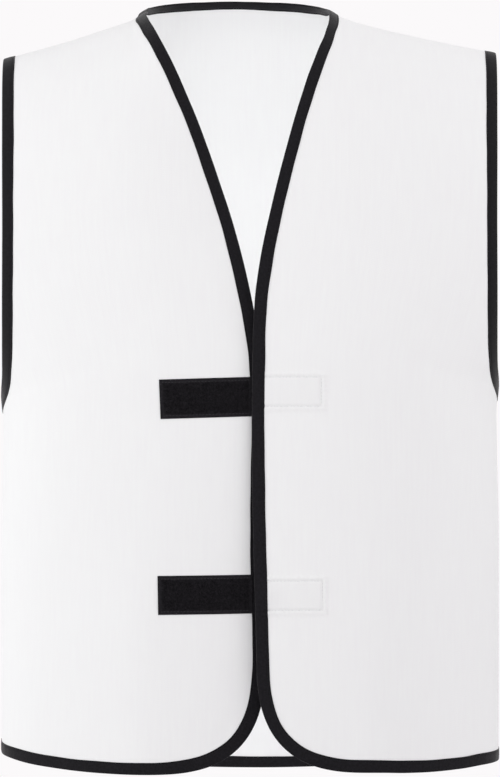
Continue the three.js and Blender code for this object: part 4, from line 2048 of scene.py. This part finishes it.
@dataclass
class HookPatch:
    """White hook tape on the inside of the left front: slab, hooks and stitches on both sides."""

    tape: FlatTape
    finishes: Finishes
    stitches: StitchRow
    hooks: HookField
    stitch_inset: float = 4.3
    stitch_outside: float = -0.08
    stitch_inside: float = 0.1
    hook_pitch: float = 1.7
    end_margin: float = 1.5
    side_margin: float = 0.8
    root: float = 0.1
    tip: float = 1.1
    under_binding: float = 9.0

    def build(self) -> list[Piece]:
        """Makes the patch.

        Returns:
            The slab, the hooks and the stitches.
        """
        tape, slab = self.tape, self.tape.build()
        margin = tape.selvedge + self.side_margin
        along, across = np.meshgrid(
            np.arange(self.end_margin, tape.spot.length - self.end_margin, self.hook_pitch),
            np.arange(margin, tape.spot.width - margin, self.hook_pitch),
        )
        seats = tape.above(along, across, self.root)
        spots = Paths([seats], [unit(tape.above(along, across, self.tip) - seats)])
        hooks = self.hooks.plant(tape.name + "_hooks", spots, self.finishes.hooks)
        paths = Paths()
        past_end = tape.spot.inner - self.under_binding + self.stitch_inset
        paths.add_loop(*tape.outline(self.stitch_inset, self.stitch_outside, 1, past_end))
        paths.add_loop(*tape.outline(self.stitch_inset, tape.thickness + self.stitch_inside, -1))
        # The white thread carries painted shade for the stitched grooves
        sewn = self.stitches.lay(tape.name + "_stitches", paths, self.finishes.groove_shaded_white_thread)
        return [slab, Piece(hooks, Slot.HOOK), Piece(sewn, Slot.HOOK)]


# The vest


LOOP_SPOTS = {
    "upper": TapeSpot(height=-346.2, outer=-83.2, inner=2.4, tilt=2.6, width=36.5, lean=1.5),
    "lower": TapeSpot(height=-527.8, outer=-84.9, inner=2.4, tilt=1.0, width=36.0, lean=0.6),
}
HOOK_SPOTS = {
    "upper": TapeSpot(height=-340.4, outer=70.0, inner=14.0),
    "lower": TapeSpot(height=-528.2, outer=71.1, inner=16.0, bulge=2.0),
}
# How far the marks of the hook patches run on past their inner ends, under the binding
UNDER_BINDING = 11.0
# Columns: distance down the cloth, depth of the dip at the free edge
DIPS: dict[Side, Rows] = {
    Side.RIGHT: (
        (0, 0), (115, 0.4), (180, 5), (215, 10), (250, 14), (300, 13), (380, 8), (470, 6), (600, 9),
        (700, 13), (800, 14),
    ),
    Side.LEFT: ((0, 0), (110, 0.3), (250, 2), (380, 2), (470, 2.5), (600, 2.5), (700, 2.5), (800, 2.5)),
}
# How far in from the free edge the dip reaches
DIP_WIDTHS = {Side.RIGHT: 100.0, Side.LEFT: 80.0}
# Turn at the top and the bottom, distance down of the top and the bottom, width, height
FRONT_FOLDS = {
    Side.RIGHT: (
        Fold(-0.80, -0.74, 380, 800, 30, 2.6),
        Fold(-0.46, -0.50, 470, 800, 34, -2.0),
        Fold(-0.30, -0.27, 560, 800, 24, 2.4),
    ),
    Side.LEFT: (
        Fold(0.82, 0.76, 380, 800, 30, 2.6),
        Fold(0.52, 0.55, 450, 800, 36, -2.2),
        Fold(0.33, 0.30, 540, 800, 30, 1.8),
    ),
}
BACK_FOLDS = (
    Fold(-0.80, -0.74, 340, 800, 32, 3.2),
    Fold(-0.52, -0.48, 330, 800, 36, -3.0),
    Fold(-0.22, -0.26, 300, 800, 40, 3.0),
    Fold(0.06, 0.04, 360, 800, 34, -2.6),
    Fold(0.30, 0.34, 300, 800, 40, 3.2),
    Fold(0.56, 0.52, 340, 800, 34, -2.8),
    Fold(0.82, 0.76, 340, 800, 32, 3.0),
)
# Columns: drop below the shoulder line, depth of the section
FRONT_DEPTH: Rows = ((0, 112), (150, 118), (250, 130), (350, 138), (760, 140))
BACK_DEPTH: Rows = ((0, 118), (120, 130), (350, 132), (780, 128))


@dataclass
class Vest:
    """The whole vest: faces of cloth, edges, tapes and what is sewn on."""

    finishes: Finishes
    form: WornForm = field(default_factory=WornForm)
    lap: float = 2.3
    front_roll: float = 190.0
    back_roll: float = 108.0
    fronts: dict[Side, Face] = field(init=False)
    back: Face = field(init=False)

    def __post_init__(self) -> None:
        """Sets up the faces."""
        self.fronts = {side: self.front_face(side) for side in Side}
        halves = {side: self.section_half(self.form.back_section_rows, side) for side in Side}
        relief = Relief(self.form, BACK_FOLDS)
        depth = SmoothTable(BACK_DEPTH)
        self.back = Face(
            self.form, toward=1.0, roll=self.back_roll, depth=depth, halves=halves, relief=relief
        )

    def section_half(self, rows: Rows, side: Side) -> SmoothTable:
        """Half width of a section by drop, stretched to the depth of the armhole on one side."""
        low = ARMHOLES[side].drop / self.form.underarm_drop
        return SmoothTable(tuple((drop * low, width) for drop, width in rows + self.form.low_section_rows))

    def front_face(self, side: Side) -> Face:
        """A front: the left one lies over the right one and shows the patches sewn behind it.

        Args:
            side: the side that it is on.

        Returns:
            The front's face.
        """
        dip = FrontDip(side, SmoothTable(FRONT_EDGES[side]), SmoothTable(DIPS[side]), DIP_WIDTHS[side])
        patches = tuple(
            SewnPatch(spot.inner - UNDER_BINDING, spot.outer, spot.height, spot.width, spot.bulge)
            for spot in HOOK_SPOTS.values()
            if side is Side.LEFT
        )
        relief = Relief(self.form, FRONT_FOLDS[side], (dip,), patches)
        half = self.section_half(self.form.front_section_rows, side)
        halves = {Side.RIGHT: half, Side.LEFT: half}
        depth = SmoothTable(FRONT_DEPTH)
        return Face(
            self.form, toward=-1.0, roll=self.front_roll, depth=depth, halves=halves, relief=relief,
            lap=self.lap * side.value,
        )

    def build(self) -> list[Piece]:
        """Makes every piece of the vest, in the order that it is sewn.

        Returns:
            All the pieces.
        """
        edges = {side: front_edge_stations(self.fronts[side], side) for side in Side}
        front_arms = {side: armhole_stations(self.fronts[side], side) for side in Side}
        back_arms = {side: armhole_stations(self.back, side) for side in Side}
        neck, hem = back_neck_stations(self.back), back_hem_stations(self.back)
        pieces = self.panels(edges, front_arms, back_arms, neck, hem)
        pieces += self.tapes()
        round_edge = [edges[Side.RIGHT], neck, edges[Side.LEFT].backwards(), hem.backwards()]
        fine = StitchRow(pitch=3.0, length=2.6, thread=0.4)
        pieces += Binding("binding_round_the_edge", "edge_binding", round_edge, self.finishes, fine).build()
        for side in Side:
            label = side.name.lower()
            runs = [front_arms[side], back_arms[side].backwards()]
            node = f"armhole_binding_{label}"
            pieces += Binding(f"binding_armhole_{label}", node, runs, self.finishes, fine).build()
        return pieces

    def panels(
        self, edges: dict[Side, Stations], front_arms: dict[Side, Stations], back_arms: dict[Side, Stations],
        neck: Stations, hem: Stations,
    ) -> list[Piece]:
        """Makes the three panels of cloth.

        Args:
            edges: hem, corner and free edge of each front.
            front_arms: armholes of the fronts.
            back_arms: armholes of the back.
            neck: the back neck.
            hem: the back hem.

        Returns:
            The panels' pieces.
        """
        back = ClothPanel("cloth_back", "back_panel", self.back, self.finishes)
        pieces = [back.build(back_net(back, hem, neck, back_arms))]
        for side in Side:
            label = side.name.lower()
            node = f"front_panel_{label}"
            front = ClothPanel(f"cloth_front_{label}", node, self.fronts[side], self.finishes)
            pieces.append(front.build(front_net(front, edges[side], front_arms[side])))
        return pieces

    def tapes(self) -> list[Piece]:
        """Makes the loop strips and the hook patches.

        Returns:
            Their pieces.
        """
        pieces: list[Piece] = []
        sewing = StitchRow(pitch=3.1, length=2.9, thread=0.45)
        pile, hooks = LoopPile(), HookField()
        for label, spot in LOOP_SPOTS.items():
            tape = FlatTape(
                f"loop_tape_{label}", f"loop_strip_{label}", self.fronts[Side.RIGHT], spot, outside=1.0,
                thickness=0.95, selvedge=3.0, selvedge_drop=0.3, ground=self.finishes.loop_ground,
            )
            pieces += LoopStrip(tape, self.finishes, sewing, pile).build()
        for label, spot in HOOK_SPOTS.items():
            tape = FlatTape(
                f"hook_tape_{label}", f"hook_patch_{label}", self.fronts[Side.LEFT], spot, outside=-1.0,
                thickness=0.6, selvedge=2.4, selvedge_drop=0.15, ground=self.finishes.hook_ground,
            )
            pieces += HookPatch(tape, self.finishes, sewing, hooks).build()
        return pieces


# Studio


@dataclass(frozen=True)
class SoftLight:
    """A large soft light that looks at the vest."""

    name: str
    place: tuple[float, float, float]
    width: float
    height: float
    power: float
    tint: str = "#FFFFFF"
    aim: tuple[float, float, float] = (0.0, 0.0, -0.34)


@dataclass
class Studio:
    """Camera, floor and light."""

    camera_place: tuple[float, float, float] = (0.0, -3.4, -0.3375)
    lens: float = 164.15
    sensor: float = 36.0
    backdrop: str = "#FBF9FA"
    floor_colour: str = "#DAD8DA"
    floor_height: float = -0.96
    floor_radius: float = 1.5
    floor_sides: int = 96
    # Name, place, width, height and power in watts
    lights: tuple[SoftLight, ...] = (
        SoftLight("key", (-3.0, -1.0, -0.7), 1.0, 0.8, 24.5, tint="#FAFFFB"),
        SoftLight("fill", (2.4, -1.5, 1.1), 1.6, 1.6, 8.8),
        SoftLight("front", (0.5, -3.0, 0.2), 1.6, 1.6, 4.0),
        SoftLight("inside_high", (0.0, -0.05, -0.16), 0.22, 0.26, 0.165, aim=(0.0, 0.1, -0.16)),
        SoftLight("inside_low", (0.0, -0.05, -0.54), 0.22, 0.34, 0.31, aim=(0.0, 0.1, -0.54)),
    )

    def build(self) -> None:
        """Sets up the whole studio."""
        self.camera()
        self.world()
        self.floor()
        for light in self.lights:
            self.lamp(light)
        scene = bpy.context.scene
        scene.view_settings.view_transform = "Standard"
        scene.view_settings.look = "None"

    def camera(self) -> None:
        """Level camera straight in front of the vest."""
        lens = bpy.data.cameras.new("camera")
        lens.lens, lens.sensor_width = self.lens, self.sensor
        camera = show("camera", lens)
        camera.location = self.camera_place
        camera.rotation_euler = (QUARTER_TURN, 0.0, 0.0)
        bpy.context.scene.camera = camera

    def world(self) -> None:
        """Even pale light from all around."""
        world = bpy.data.worlds.new("studio")
        world.use_nodes = True
        world.node_tree.nodes["Background"].inputs["Color"].default_value = linear(self.backdrop)
        bpy.context.scene.world = world

    def floor(self) -> None:
        """Round pale floor below the vest."""
        mesh = bpy.data.meshes.new("floor")
        disc = bmesh.new()
        bmesh.ops.create_circle(disc, cap_ends=True, segments=self.floor_sides, radius=self.floor_radius)
        bmesh.ops.translate(disc, verts=disc.verts, vec=Vector((0.0, 0.0, self.floor_height)))
        disc.to_mesh(mesh)
        disc.free()
        # Pale and matt, so that it throws no bright spot on the hem
        material, tree = blank_material("painted_board_pale")
        end_material(tree, {
            "Base Color": linear(self.floor_colour), "Roughness": 0.9, "Specular IOR Level": 0.1,
        })
        mesh.materials.append(material)
        floor = show("floor", mesh)

    def lamp(self, light: SoftLight) -> None:
        """Adds one soft light, turned to the vest.

        Args:
            light: where it stands and how strong it is.
        """
        data = bpy.data.lights.new(light.name, "AREA")
        data.shape = "RECTANGLE"
        data.size, data.size_y, data.energy = light.width, light.height, light.power
        data.color = linear(light.tint)[:3]
        lamp = show(light.name, data)
        lamp.visible_camera = False
        lamp.location = light.place
        way = Vector(light.aim) - Vector(light.place)
        lamp.rotation_euler = way.to_track_quat("-Z", "Y").to_euler()


def declare(pieces: list[Piece]) -> None:
    """Hangs each piece under the frame's root and hides the frame part that it stands for, where it has one.

    Args:
        pieces: all the pieces of the vest.
    """
    for piece in pieces:
        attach(piece.thing, "root")
        if piece.node:
            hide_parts(piece.node)


def main() -> None:
    """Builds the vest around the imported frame."""
    logging.basicConfig(level=logging.INFO, format="%(message)s")
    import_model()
    Studio().build()
    pieces = Vest(Finishes()).build()
    declare(pieces)


if __name__ == "__main__":
    main()
